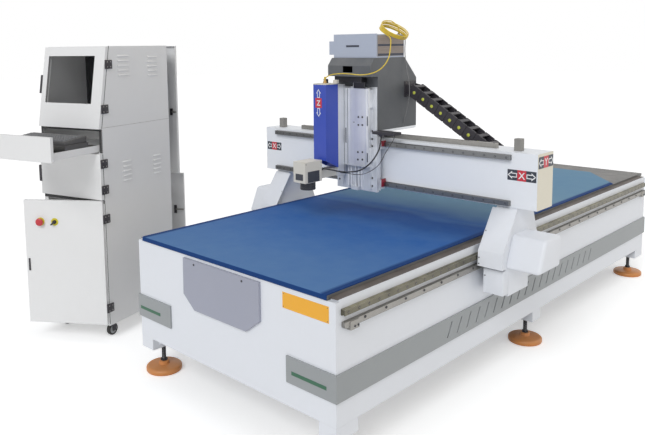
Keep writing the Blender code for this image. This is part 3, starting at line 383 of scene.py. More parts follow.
# %% Finishes on the model's own nodes
FINISH_OF = {
    beam_paint: ("gantry_beam",),
    white_paint: ("bed_frame", "gantry_leg_right", "gantry_leg_left", "leg_cover_right",
                  "leg_cover_left", "y_drive_cover_right", "y_drive_cover_left"),
    cabinet_paint: ("cabinet_shell", "monitor_door", "keyboard_drawer", "middle_door", "lower_door",
                    "rear_door_upper", "rear_door_lower"),
    trim_paint: ("side_trim_right", "side_trim_left"),
    cover_paint: ("front_cover",),
    hood_paint: ("carriage_hood",),
    laser_paint: ("laser_source",),
    column_paint: ("column_cover",),
    head_paint: ("scan_head",),
    alloy: ("x_carriage", "z_base", "z_plate", "table_top"),
    rail_steel_y: ("y_rail_right", "y_rail_left"),
    rail_steel_x: ("x_rail_upper", "x_rail_lower"),
    rack_steel: ("y_rack_right", "y_rack_left", "x_rack", "y_pinion_right", "y_pinion_left", "x_pinion", "z_screw",
                 "x_end_stop_right", "x_end_stop_left"),
    dark_steel: ("caster_fork_left", "caster_fork_right"),
    black_plastic: ("x_drag_chain", "scan_lens", "e_stop_button", "selector_switch", "monitor_window"),
    black_rubber: ("caster_wheel_front_left", "caster_wheel_front_right", "caster_wheel_rear_left",
                   "caster_wheel_rear_right"),
}
dressed = set()
for finish, names in FINISH_OF.items():
    for name in names:
        for slot in NODES[name].material_slots:
            slot.material = finish
        dressed.add(name)
print("nodes still to be replaced:", sorted(set(NODES) - dressed))

# %% [markdown]
# ## Shapes to build with
# Sheet, bar and turned parts are boxes, pushed outlines, turned outlines and tubes. Each helper returns a small
# mesh of its own. A Piece gathers such meshes, each with its finish, sets them in place and gives them to a body.

# %% Shape helpers
def slab(low, high, round_by=0.0, steps=2):
    """A box between two corners, with rounded edges if asked."""
    part = bmesh.new()
    middle = (Vector(low) + Vector(high)) / 2
    size = Vector(high) - Vector(low)
    bmesh.ops.create_cube(part, size=1.0, matrix=Matrix.Translation(middle) @ Matrix.Diagonal((*size, 1.0)))
    if round_by:
        bmesh.ops.bevel(part, geom=part.edges[:], offset=round_by, segments=steps, profile=0.5, affect="EDGES")
    return part


def pushed(axis, outline, start_at, end_at, round_by=0.0, steps=2):
    """An outline pushed along an axis: (y, z) along x, (x, z) along y, (x, y) along z."""
    spot = {"x": lambda p, a: (a, *p), "y": lambda p, a: (p[0], a, p[1]), "z": lambda p, a: (*p, a)}[axis]
    part = bmesh.new()
    rings = [[part.verts.new(spot(p, a)) for p in outline] for a in (start_at, end_at)]
    part.faces.new(rings[0])
    part.faces.new(rings[1][::-1])
    for i in range(len(outline)):
        j = (i + 1) % len(outline)
        part.faces.new((rings[0][j], rings[0][i], rings[1][i], rings[1][j]))
    bmesh.ops.recalc_face_normals(part, faces=part.faces[:])
    if round_by:
        bmesh.ops.bevel(part, geom=part.edges[:], offset=round_by, segments=steps, profile=0.5, affect="EDGES")
    return part


def turned(profile, sides=32):
    """An outline of (radius, height) turned about the upright axis and closed at both ends."""
    part = bmesh.new()
    rings = []
    for radius, height in profile:
        if radius < 1e-6:
            rings.append([part.verts.new((0, 0, height))] * sides)
            continue
        turn = [2 * math.pi * k / sides for k in range(sides)]
        rings.append([part.verts.new((radius * math.cos(a), radius * math.sin(a), height)) for a in turn])
    for a, b in zip(rings, rings[1:]):
        for k in range(sides):
            corners = [a[k], a[(k + 1) % sides], b[(k + 1) % sides], b[k]]
            corners = list(dict.fromkeys(corners))
            if len(corners) > 2:
                part.faces.new(corners)
    for ring in (rings[0], rings[-1]):
        if len(set(ring)) > 2:
            part.faces.new(ring)
    bmesh.ops.recalc_face_normals(part, faces=part.faces[:])
    return part


def smooth_line(points, per_span):
    """A smooth line through the points."""
    knots = [Vector(p) for p in points]
    knots = [knots[0] * 2 - knots[1], *knots, knots[-1] * 2 - knots[-2]]
    line = []
    for a, b, c, d in zip(knots, knots[1:], knots[2:], knots[3:]):
        for k in range(per_span):
            t = k / per_span
            line.append(0.5 * (2 * b + (c - a) * t + (2 * a - 5 * b + 4 * c - d) * t * t
                               + (3 * b - a - 3 * c + d) * t ** 3))
    return line + [knots[-2]]


def evenly(line, count):
    """The same line with points at even steps."""
    reach = [0.0]
    for a, b in zip(line, line[1:]):
        reach.append(reach[-1] + (b - a).length)
    spots, i = [], 0
    for k in range(count):
        goal = reach[-1] * k / (count - 1)
        while i < len(line) - 2 and reach[i + 1] < goal:
            i += 1
        spots.append(line[i].lerp(line[i + 1], (goal - reach[i]) / max(1e-9, reach[i + 1] - reach[i])))
    return spots


def length_of(line):
    """How long a line is."""
    return sum((b - a).length for a, b in zip(line, line[1:]))


def tube(line, radius, sides=10):
    """A round cord along a line; radius is one number or one for each point."""
    part = bmesh.new()
    reach = radius if isinstance(radius, (list, tuple)) else [radius] * len(line)
    along = (line[1] - line[0]).normalized()
    side = along.orthogonal().normalized()
    rings = []
    for i, spot in enumerate(line):
        ahead = line[min(i + 1, len(line) - 1)] - line[max(i - 1, 0)]
        side = (side - ahead.normalized() * side.dot(ahead.normalized())).normalized()
        other = ahead.normalized().cross(side)
        turn = [2 * math.pi * k / sides for k in range(sides)]
        rings.append([part.verts.new(spot + (side * math.cos(a) + other * math.sin(a)) * reach[i]) for a in turn])
    for a, b in zip(rings, rings[1:]):
        for k in range(sides):
            part.faces.new((a[k], a[(k + 1) % sides], b[(k + 1) % sides], b[k]))
    part.faces.new(rings[0][::-1])
    part.faces.new(rings[-1])
    bmesh.ops.recalc_face_normals(part, faces=part.faces[:])
    return part


AIM = {"x": Matrix.Rotation(math.pi / 2, 4, "Y"), "-x": Matrix.Rotation(-math.pi / 2, 4, "Y"),
       "y": Matrix.Rotation(-math.pi / 2, 4, "X"), "-y": Matrix.Rotation(math.pi / 2, 4, "X"),
       "z": Matrix.Identity(4), "-z": Matrix.Rotation(math.pi, 4, "X")}


def at(spot, way="z"):
    """Puts a part that stands on the origin at a spot, pointing one way."""
    return Matrix.Translation(spot) @ AIM[way]


class Piece:
    """A piece being made: its mesh, its finishes, and where its own measure lies in the frame."""

    def __init__(self, name, place=TO_BED):
        self.name, self.place, self.mesh, self.finishes = name, place, bmesh.new(), []

    def put(self, part, finish, where=None):
        """Adds a part in one finish."""
        if where is not None:
            part.transform(where)
        if finish not in self.finishes:
            self.finishes.append(finish)
        for side in part.faces:
            side.material_index = self.finishes.index(finish)
        loose = bpy.data.meshes.new("part")
        part.to_mesh(loose)
        part.free()
        self.mesh.from_mesh(loose)
        bpy.data.meshes.remove(loose)
        return self

    def keep(self, body=None, stands_for=(), slot=None, crisp=35.0):
        """Makes the piece an object at the origin and lets it ride on a body."""
        self.mesh.transform(self.place)
        skin = bpy.data.meshes.new(self.name)
        self.mesh.to_mesh(skin)
        self.mesh.free()
        for finish in self.finishes:
            skin.materials.append(finish)
        skin.shade_smooth()
        skin.set_sharp_from_angle(angle=math.radians(crisp))
        made = bpy.data.objects.new(self.name, skin)
        bpy.context.scene.collection.objects.link(made)
        if stands_for:
            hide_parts(*stands_for)
        if body:
            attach(made, body)
        return made


print("shape helpers ready")

# %% [markdown]
# ## The cords
# A yellow fibre runs from the laser box to the top of the blue column. What isn't needed lies in loose turns
# over the box's corner. It is one length of something springy, so it is one tube on one smooth line: straight out
# of the box, round six times and more, down past the box and across to the column. The tube is made by code.

# %% The fibre
fibre_jacket = painted("fibre_jacket", rgb(226, 196, 62), 0.36, 0.16, 260.0, 0.05, 0.0006, 0.05)
FIBRE_R = 0.003
COIL_MIDDLE = Vector((0.0522, 1.2551, 1.8300))
COIL_FROM, COIL_TO = 0.34, 6.695
COIL_R = 0.080
COIL_PITCH = 0.0066
across = Vector((0.6833, 0.6105, -0.4005)).normalized()
dip = Vector((0.5632, -0.7440, -0.3600))
dip = (dip - across * dip.dot(across)).normalized()
rise = dip.cross(across)


def on_coil(turns):
    """A point of the coil, counted in turns from its lower end: bunched on the near side, fanned on the far one."""
    angle = 2 * math.pi * turns
    near = 0.5 + 0.5 * math.sin(angle)
    reach = COIL_R + 0.003 * math.sin(2.1 * turns) * (1 - near) + 0.0045 * math.cos(math.pi * turns) * near
    height = (turns - (COIL_FROM + COIL_TO) / 2) * COIL_PITCH * (1.1 - 0.55 * near)
    return COIL_MIDDLE + across * (reach * math.cos(angle)) + dip * (reach * math.sin(angle)) + rise * height


FIBRE_OUT = Vector((0.0185, 1.3470, 1.8120))
fibre_start = [FIBRE_OUT, *[Vector(p) for p in [
    (0.0185, 1.3470, 1.8230), (0.0180, 1.3460, 1.8360), (0.0130, 1.3385, 1.8620)]]]
turn_count = round((COIL_TO - COIL_FROM) * 28)
turns = [on_coil(COIL_TO + (COIL_FROM - COIL_TO) * k / turn_count) for k in range(turn_count + 1)]
leave = (turns[-1] - turns[-2]).normalized()
fibre_end = [turns[-1] + leave * 0.015, *[Vector(p) for p in [
    (0.0830, 1.1735, 1.7945), (0.0930, 1.1700, 1.7760), (0.0990, 1.1600, 1.7440), (0.1035, 1.1460, 1.7030),
    (0.1020, 1.1320, 1.6700), (0.0930, 1.1120, 1.6400), (0.0800, 1.0820, 1.6140), (0.0580, 1.0400, 1.5960),
    (0.0160, 0.9950, 1.5890), (-0.0630, 0.9650, 1.5960), (-0.1350, 0.9520, 1.5920), (-0.1850, 0.9500, 1.5790),
    (-0.2030, 0.9500, 1.5620), (-0.2050, 0.9500, 1.5390)]]]
fibre_line = smooth_line(fibre_start + turns + fibre_end, 3)
fibre = Piece("fibre")
fibre.put(tube(fibre_line, FIBRE_R, 10), fibre_jacket)
fibre = fibre.keep(stands_for=("fibre_coil", "fibre_lead"), slot="fibre_coil")
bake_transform(fibre)

# %% [markdown]
# The fibre ends in a metal connector with a soft boot that tapers, screwed into the column's top. Where it leaves
# the laser box there is a second boot, so that the jacket never bends at a hard edge. Turned outlines make both.

# %% Boots and connector
brass = bare("connector_brass", rgb(186, 152, 96), 0.32, (260.0, 260.0, 40.0), 0.2, 0.05)
boot_rubber = moulded("boot_rubber", rgb(196, 166, 52), 0.6, wear=0.0)
boot = Piece("fibre_boot_laser")
boot.put(turned([(0.0, 0.0), (0.0085, 0.0), (0.0085, 0.003), (0.0062, 0.0035), (0.0055, 0.008), (0.0036, 0.0125),
                 (0.0032, 0.0125)], 20), boot_rubber, at(FIBRE_OUT))
boot_laser = boot.keep("carriage", slot="fibre_coil")
plug = Piece("fibre_connector")
plug.put(turned([(0.0, 0.0), (0.013, 0.0), (0.013, 0.004), (0.0105, 0.005), (0.0105, 0.012), (0.0085, 0.013),
                 (0.0085, 0.019), (0.006, 0.020)], 24), brass, at((-0.205, 0.950, 1.5382)))
plug.put(turned([(0.0035, 0.0185), (0.0066, 0.0185), (0.0060, 0.026), (0.0042, 0.038), (0.0034, 0.038)], 20),
         boot_rubber, at((-0.205, 0.950, 1.5382)))
plug_column = plug.keep("z_slide", slot="fibre_lead")
print("boots at both ends of the fibre")

# %% [markdown]
# A black cable leaves the back of the scan head, sags under the slide and goes up into the clamp beside the hood.
# A thinner one keeps it company, and a grey one hangs down the side of the hood from the laser box. They are
# limp, so each bends in one lazy curve. The first two cross from the slide to the carriage.

# %% Cables
cable_black = moulded("cable_black", rgb(34, 34, 38), 0.45, peel=500.0, wear=0.0)
cable_grey = moulded("cable_grey", rgb(120, 120, 122), 0.5, peel=500.0, wear=0.0)


def cable(name, points, radius, finish, count, far_end="object", **soft):
    line = evenly(smooth_line(points, 8), count)
    made = Piece(name).put(tube(line, radius, 10), finish)
    return made, [BED + p for p in line]


HEAD_CABLE = [(-0.170, 0.8749, 1.060), (-0.169, 0.885, 1.0595), (-0.165, 0.910, 1.055), (-0.156, 0.950, 1.045),
              (-0.150, 1.000, 1.031), (-0.096, 1.020, 1.030), (-0.015, 1.035, 1.049), (0.054, 1.045, 1.101),
              (0.092, 1.060, 1.165), (0.094, 1.076, 1.209), (0.090, 1.085, 1.240), (0.090, 1.086, 1.2546)]
piece, route = cable("head_cable_sleeve", HEAD_CABLE, 0.004, cable_black, 40)
head_cable = piece.keep(stands_for=("head_cable",), slot="head_cable")
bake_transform(head_cable)
gland = Piece("head_cable_gland")
gland.put(turned([(0.0045, 0.0), (0.0095, 0.0), (0.0095, 0.005), (0.0075, 0.006), (0.0070, 0.010), (0.0046, 0.020),
                  (0.0042, 0.020)], 20), cable_black, at((-0.170, 0.8742, 1.060), "y"))
head_gland = gland.keep("z_slide", slot="head_cable")
clamp = Piece("cable_clamp")
clamp.put(slab((0.073, 1.074, 1.2435), (0.122, 1.103, 1.2556), 0.0025), black_plastic)
clamp.put(slab((0.0400, 1.0690, 1.2552), (0.1900, 1.1400, 1.2712), 0.001, 1), black_plastic)
cable_clamp = clamp.keep("carriage", slot="x_carriage")
print("head cable length", round(length_of(route), 3))

THIN_CABLE = [(-0.150, 1.0145, 1.022), (-0.135, 1.022, 1.0205), (-0.0974, 1.030, 1.0200), (-0.0488, 1.034, 1.0190),
              (0.0027, 1.038, 1.0276), (0.0420, 1.043, 1.0450), (0.0780, 1.052, 1.0700), (0.1020, 1.062, 1.0980),
              (0.1230, 1.075, 1.1463), (0.1480, 1.090, 1.1951), (0.1670, 1.098, 1.2300), (0.1712, 1.1003, 1.2460),
              (0.1715, 1.1005, 1.2556)]
piece, route = cable("limit_cable", THIN_CABLE, 0.0018, cable_black, 36)
limit_cable = piece.keep(slot="head_cable")
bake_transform(limit_cable)

HOOD_CABLE = [(0.0452, 1.352, 1.800), (0.0500, 1.3545, 1.797), (0.0560, 1.358, 1.775), (0.0530, 1.360, 1.712),
              (0.0620, 1.361, 1.620), (0.0800, 1.362, 1.545), (0.0860, 1.362, 1.470), (0.0700, 1.362, 1.385),
              (0.0500, 1.361, 1.310), (0.0440, 1.360, 1.280), (0.0430, 1.360, 1.2703)]
piece, route = cable("hood_cable", HOOD_CABLE, 0.0026, cable_grey, 38)
hood_cable = piece.keep("carriage", slot="head_cable")
print("three cables")

# %% [markdown]
# ## The table mat
# A blue sheet of soft plastic covers the table up to the bridge and past it. It hangs a little over the front
# edge, its far right corner is cut off, and it lies almost flat, with the faintest waves. A grid of points follows
# its cut, bends over the edge and gets its thickness, so light slides over it as over a real sheet.

# %% Mat finish
weave, takes, gives = effect("mat_weave", [("Colour", COLOUR, rgb(52, 96, 158)), ("Pitch", NUMBER, 460.0)],
                             [("Colour", COLOUR), ("Rough", NUMBER), ("Height", NUMBER)])
where = add(weave, "ShaderNodeTexCoord").outputs["Object"]
threads_x = add(weave, "ShaderNodeTexWave", {"Vector": where, "Scale": takes.outputs["Pitch"]}, bands_direction="X")
threads_y = add(weave, "ShaderNodeTexWave", {"Vector": where, "Scale": takes.outputs["Pitch"]}, bands_direction="Y")
cloth = add(weave, "ShaderNodeMath", {0: threads_x.outputs["Fac"], 1: threads_y.outputs["Fac"]}, operation="MULTIPLY")
pool = add(weave, "ShaderNodeTexNoise", {"Vector": where, "Scale": 1.1, "Detail": 3.0})
scuff = add(weave, "ShaderNodeTexNoise", {"Vector": where, "Scale": 22.0, "Detail": 6.0, "Roughness": 0.7})
shift = add(weave, "ShaderNodeMath", {0: scuff.outputs[0], 1: 0.30, 2: pool.outputs[0]}, operation="MULTIPLY_ADD")
level_of = add(weave, "ShaderNodeMapRange", {"Value": shift.outputs[0], "From Min": 0.35, "From Max": 0.95,
                                             "To Min": 0.93, "To Max": 1.06})
dyed = add(weave, "ShaderNodeHueSaturation", {"Color": takes.outputs["Colour"], "Value": level_of.outputs[0]})
weave.links.new(dyed.outputs[0], gives.inputs["Colour"])
weave.links.new(shift.outputs[0], gives.inputs["Rough"])
weave.links.new(cloth.outputs[0], gives.inputs["Height"])

mat_blue, tree, shader = start("mat_blue")
woven = add(tree, "ShaderNodeGroup", {"Colour": rgb(44, 97, 168), "Pitch": 460.0}, node_tree=weave)
settled = add(tree, "ShaderNodeGroup", {"Colour": woven.outputs["Colour"], "Dust": rgb(130, 164, 188), "Amount": 0.10},
              node_tree=dust_and_sheen)
# Painted shade: the mat darkens near its right edge and where it bends down over the front edge.
across = add(tree, "ShaderNodeSeparateXYZ", {0: add(tree, "ShaderNodeTexCoord").outputs["Object"]})
aside = add(tree, "ShaderNodeMath", {0: across.outputs["X"], 1: BED.x}, operation="SUBTRACT")
aside = add(tree, "ShaderNodeMath", {0: aside.outputs[0]}, operation="ABSOLUTE")
edge_shade_mask = add(tree, "ShaderNodeMapRange", {"Value": aside.outputs[0], "From Min": 0.612, "From Max": 0.632})
lip_shade_mask = add(tree, "ShaderNodeMapRange", {"Value": across.outputs["Z"], "From Min": 0.7598, "From Max": 0.7575})
edge_shade_mask = add(tree, "ShaderNodeMath", {0: edge_shade_mask.outputs[0], 1: lip_shade_mask.outputs[0]}, operation="MAXIMUM")
# Painted light along the bed: a pale painted sheen at the front, painted shade under the bridge, and a pale grey-green
# painted reflection behind it.
drift = add(tree, "ShaderNodeTexNoise", {"Vector": add(tree, "ShaderNodeTexCoord").outputs["Object"], "Scale": 2.4,
                                         "Detail": 4.0})
drift = add(tree, "ShaderNodeMath", {0: drift.outputs[0], 1: 0.30, 2: across.outputs["Y"]}, operation="MULTIPLY_ADD")
along = add(tree, "ShaderNodeMapRange", {"Value": drift.outputs[0], "From Min": BED.y + 0.15,
                                         "From Max": BED.y + 3.55})
light_along_bed = add(tree, "ShaderNodeValToRGB", {0: along.outputs[0]})
FRONT_SHEEN, BEHIND_BEAM_REFLECTION, UNDER_BEAM_SHADE = rgb(130, 164, 188), rgb(158, 193, 182), rgb(20, 44, 90)
tints = [(0.0, FRONT_SHEEN, 0.33), (0.06, FRONT_SHEEN, 0.29), (0.147, FRONT_SHEEN, 0.18), (0.206, FRONT_SHEEN, 0.09),
        (0.265, FRONT_SHEEN, 0.01), (0.33, UNDER_BEAM_SHADE, 0.22), (0.385, UNDER_BEAM_SHADE, 0.30), (0.415, BEHIND_BEAM_REFLECTION, 0.06),
        (0.45, BEHIND_BEAM_REFLECTION, 0.28), (0.50, BEHIND_BEAM_REFLECTION, 0.41), (1.0, BEHIND_BEAM_REFLECTION, 0.41)]
while len(light_along_bed.color_ramp.elements) < len(tints):
    light_along_bed.color_ramp.elements.new(0.5)
for stop, (place, tone, amount) in zip(light_along_bed.color_ramp.elements, tints):
    stop.position = place
    stop.color = (*tone[:3], amount)
light_banded = add(tree, "ShaderNodeMix", {0: light_along_bed.outputs["Alpha"], 6: settled.outputs["Colour"], 7: light_along_bed.outputs["Color"]},
             data_type="RGBA")
shaded_edges = add(tree, "ShaderNodeMix", {0: edge_shade_mask.outputs[0], 6: light_banded.outputs[2], 7: rgb(26, 62, 118)},
            data_type="RGBA")
tree.links.new(shaded_edges.outputs[2], shader.inputs["Base Color"])
shader.inputs["Specular IOR Level"].default_value = 0.14
gloss = add(tree, "ShaderNodeMapRange", {"Value": woven.outputs["Rough"], "From Min": 0.35, "From Max": 0.95,
                                         "To Min": 0.62, "To Max": 0.80})
tree.links.new(gloss.outputs[0], shader.inputs["Roughness"])
raised = add(tree, "ShaderNodeBump", {"Strength": 0.10, "Distance": 0.0006, "Height": woven.outputs["Height"]})
tree.links.new(raised.outputs[0], shader.inputs["Normal"])
print("mat finish", mat_blue.name)

# %% Mat shape
MAT_HALF, MAT_BACK, MAT_LOW, MAT_THICK = 0.654, 3.361, 0.7563, 0.004
CUT_FROM = 3.0108
mat_rows = [(-0.0043, 0.7375), (-0.0043, 0.7440), (-0.0043, 0.7520), (-0.0040, 0.7556), (-0.0030, 0.7575),
            (-0.0012, 0.7583), (0.0030, 0.7583)]
mat_rows += [(0.0030 + (CUT_FROM - 0.0030) * k / 84, 0.7583) for k in range(1, 85)]
mat_rows += [(CUT_FROM + (MAT_BACK - CUT_FROM) * k / 12, 0.7583) for k in range(1, 13)]
COLUMNS = 40
sheet = bmesh.new()
skins = []
for side in (1.0, -1.0):
    grid = []
    for i, (y, z) in enumerate(mat_rows):
        before = Vector(mat_rows[max(i - 1, 0)])
        after = Vector(mat_rows[min(i + 1, len(mat_rows) - 1)])
        slope = (after - before).normalized()
        off = Vector((-slope.y, slope.x)) * (MAT_THICK / 2 * side)
        right_edge = MAT_HALF - max(0.0, y - CUT_FROM) * 0.301 / (MAT_BACK - CUT_FROM)
        row = []
        for k in range(COLUMNS + 1):
            x = -MAT_HALF + (right_edge + MAT_HALF) * k / COLUMNS
            wave = 0.0
            if y > 0.01:
                wave = 0.00028 * (1 + math.sin(5.1 * x + 2.3 * y) * math.sin(3.7 * y - 1.9 * x))
            row.append(sheet.verts.new((x, y + off.x, z + off.y + wave)))
        grid.append(row)
    skins.append(grid)
over, under = skins
for i in range(len(mat_rows) - 1):
    for k in range(COLUMNS):
        sheet.faces.new((over[i][k], over[i][k + 1], over[i + 1][k + 1], over[i + 1][k]))
        sheet.faces.new((under[i][k], under[i + 1][k], under[i + 1][k + 1], under[i][k + 1]))
    sheet.faces.new((over[i][0], over[i + 1][0], under[i + 1][0], under[i][0]))
    sheet.faces.new((over[i][-1], under[i][-1], under[i + 1][-1], over[i + 1][-1]))
for k in range(COLUMNS):
    sheet.faces.new((over[0][k], under[0][k], under[0][k + 1], over[0][k + 1]))
    sheet.faces.new((over[-1][k], over[-1][k + 1], under[-1][k + 1], under[-1][k]))
bmesh.ops.recalc_face_normals(sheet, faces=sheet.faces[:])
mat = Piece("mat").put(sheet, mat_blue).keep("bed", ("table_mat",), "table_mat")

# %% [markdown]
# ## Growing what repeats
# Bolts, teeth, louvres, keys, links and threads come in rows, rings, lines and spirals. Geometry Nodes is made for
# that: a tree takes a shape and a few named sizes, sets the shape on points, and makes the instances real. Four
# small trees cover the whole machine. The result is read back as a plain mesh and joins the piece it belongs to.

# %% Growing trees
def grower(name, takes):
    """A geometry tree with named inputs, and its two end nodes."""
    tree = bpy.data.node_groups.new(name, "GeometryNodeTree")
    tree.interface.new_socket("Path", in_out="INPUT", socket_type="NodeSocketGeometry")
    for label, kind, value in takes:
        socket = tree.interface.new_socket(label, in_out="INPUT", socket_type=kind)
        if value is not None:
            socket.default_value = value
    tree.interface.new_socket("Grown", in_out="OUTPUT", socket_type="NodeSocketGeometry")
    return tree, tree.nodes.new("NodeGroupInput"), tree.nodes.new("NodeGroupOutput")


OBJECT, WHOLE, STUFF = "NodeSocketObject", "NodeSocketInt", "NodeSocketMaterial"


def finish_tree(tree, grown, takes, gives):
    """The end of each tree: instances made real, one finish set."""
    real = add(tree, "GeometryNodeRealizeInstances", {0: grown})
    coated = add(tree, "GeometryNodeSetMaterial", {"Geometry": real.outputs[0], "Material": takes.outputs["Finish"]})
    tree.links.new(coated.outputs[0], gives.inputs["Grown"])


rows_of, takes, gives = grower("rows_of", [
    ("Shape", OBJECT, None), ("Count", WHOLE, 4), ("Step", VECTOR, (0.1, 0, 0)), ("Rows", WHOLE, 1),
    ("Row Step", VECTOR, (0, 0.1, 0)), ("First", VECTOR, (0, 0, 0)), ("Finish", STUFF, None)])
row_line = add(rows_of, "GeometryNodeMeshLine", {"Count": takes.outputs["Rows"], "Start Location": takes.outputs["First"],
                                                 "Offset": takes.outputs["Row Step"]})
step_line = add(rows_of, "GeometryNodeMeshLine", {"Count": takes.outputs["Count"], "Offset": takes.outputs["Step"]})
lines = add(rows_of, "GeometryNodeInstanceOnPoints", {"Points": row_line.outputs[0], "Instance": step_line.outputs[0]})
spots = add(rows_of, "GeometryNodeRealizeInstances", {0: lines.outputs[0]})
shape = add(rows_of, "GeometryNodeObjectInfo", {"Object": takes.outputs["Shape"]})
placed = add(rows_of, "GeometryNodeInstanceOnPoints", {"Points": spots.outputs[0],
                                                       "Instance": shape.outputs["Geometry"]})
finish_tree(rows_of, placed.outputs[0], takes, gives)

ring_of, takes, gives = grower("ring_of", [("Shape", OBJECT, None), ("Count", WHOLE, 12), ("Radius", NUMBER, 0.01),
                                           ("Finish", STUFF, None)])
circle = add(ring_of, "GeometryNodeMeshCircle", {"Vertices": takes.outputs["Count"], "Radius": takes.outputs["Radius"]})
out = add(ring_of, "GeometryNodeInputPosition")
faced = add(ring_of, "FunctionNodeAxesToRotation", {0: out.outputs[0], 1: (0, 0, 1)}, primary_axis="X",
            secondary_axis="Z")
shape = add(ring_of, "GeometryNodeObjectInfo", {"Object": takes.outputs["Shape"]})
placed = add(ring_of, "GeometryNodeInstanceOnPoints", {"Points": circle.outputs[0],
                                                       "Instance": shape.outputs["Geometry"],
                                                       "Rotation": faced.outputs[0]})
finish_tree(ring_of, placed.outputs[0], takes, gives)

links_on, takes, gives = grower("links_on", [("Shape", OBJECT, None), ("Count", WHOLE, 10), ("Across", VECTOR, (0, 1, 0)),
                                             ("Finish", STUFF, None)])
line = add(links_on, "GeometryNodeMeshToCurve", {"Mesh": takes.outputs["Path"]})
paced = add(links_on, "GeometryNodeResampleCurve", {"Curve": line.outputs[0], "Count": takes.outputs["Count"]})
along = add(links_on, "GeometryNodeInputTangent")
faced = add(links_on, "FunctionNodeAxesToRotation", {0: along.outputs[0], 1: takes.outputs["Across"]},
            primary_axis="X", secondary_axis="Y")
shape = add(links_on, "GeometryNodeObjectInfo", {"Object": takes.outputs["Shape"]})
placed = add(links_on, "GeometryNodeInstanceOnPoints", {"Points": paced.outputs[0],
                                                        "Instance": shape.outputs["Geometry"],
                                                        "Rotation": faced.outputs[0]})
finish_tree(links_on, placed.outputs[0], takes, gives)

thread_of, takes, gives = grower("thread_of", [("Radius", NUMBER, 0.006), ("Turns", NUMBER, 10.0),
                                               ("Height", NUMBER, 0.1), ("Ridge", NUMBER, 0.0008), ("Steps", WHOLE, 16),
                                               ("Finish", STUFF, None)])
spiral = add(thread_of, "GeometryNodeCurveSpiral", {
    "Resolution": takes.outputs["Steps"], "Rotations": takes.outputs["Turns"], "Start Radius": takes.outputs["Radius"],
    "End Radius": takes.outputs["Radius"], "Height": takes.outputs["Height"]})
ridge = add(thread_of, "GeometryNodeCurvePrimitiveCircle", {"Resolution": 5, "Radius": takes.outputs["Ridge"]})
swept = add(thread_of, "GeometryNodeCurveToMesh", {"Curve": spiral.outputs[0], "Profile Curve": ridge.outputs[0],
                                                   "Fill Caps": True})
finish_tree(thread_of, swept.outputs[0], takes, gives)


def grow(piece, tree, finish, where=None, shape=None, path=None, **sizes):
    """Runs a tree with its named inputs and puts the plain mesh into a piece."""
    skin = bpy.data.meshes.new("holder")
    if path:
        skin.from_pydata([tuple(p) for p in path], [(i, i + 1) for i in range(len(path) - 1)], [])
    holder = bpy.data.objects.new("holder", skin)
    bpy.context.scene.collection.objects.link(holder)
    sizes["Finish"] = finish
    spare = []
    if shape is not None:
        form = bpy.data.meshes.new("form")
        shape.to_mesh(form)
        shape.free()
        sizes["Shape"] = bpy.data.objects.new("form", form)
        bpy.context.scene.collection.objects.link(sizes["Shape"])
        spare = [sizes["Shape"], form]
    growing = holder.modifiers.new("grow", "NODES")
    growing.node_group = tree
    for socket in tree.interface.items_tree:
        if socket.in_out == "INPUT" and socket.name.replace(" ", "_") in sizes:
            growing[socket.identifier] = sizes[socket.name.replace(" ", "_")]
    grown = bpy.data.meshes.new_from_object(holder.evaluated_get(bpy.context.evaluated_depsgraph_get()))
    holder.modifiers.remove(growing)
    part = bmesh.new()
    part.from_mesh(grown)
    bpy.data.objects.remove(holder)
    bpy.data.meshes.remove(skin)
    bpy.data.meshes.remove(grown)
    if spare:
        bpy.data.objects.remove(spare[0])
        bpy.data.meshes.remove(spare[1])
    bmesh.ops.recalc_face_normals(part, faces=part.faces[:])
    piece.put(part, finish, where)
    return piece


print("growing trees:", rows_of.name, ring_of.name, links_on.name, thread_of.name)

# %% [markdown]
# ## Rails, racks and pinions
# The bridge rolls on two ground steel rails, bolted to the bed's sides with their heads sunk in a row of
# counterbores. Their sides are hollowed for the balls of the blocks. Below each rail runs a rack, and a pinion on
# the bridge drives along it. The bars are pushed outlines; bolts and teeth are rows that a tree repeats.

# %% Screws
def socket_screw(radius, height, way="z", sides=10):
    """A cap screw's head with its socket, pointing one way."""
    part = turned([(radius, 0.0), (radius, height * 0.75), (radius * 0.86, height), (radius * 0.48, height),
                   (radius * 0.48, height * 0.35), (0.0, height * 0.35)], sides)
    part.transform(AIM[way])
    return part


def moved(part, matrix):
    """The same part, moved."""
    part.transform(matrix)
    return part


RAIL_HALF = [(0.0, -0.0130), (0.0068, -0.0130), (0.0088, -0.0108), (0.0130, -0.0098), (0.0162, -0.0118),
             (0.0206, -0.0124), (0.0220, -0.0112)]
RAIL_SHAPE = RAIL_HALF + [(d, -h) for d, h in reversed(RAIL_HALF)]
TOOTH = 0.00644
print("rail outline of", len(RAIL_SHAPE), "points; tooth pitch", TOOTH)

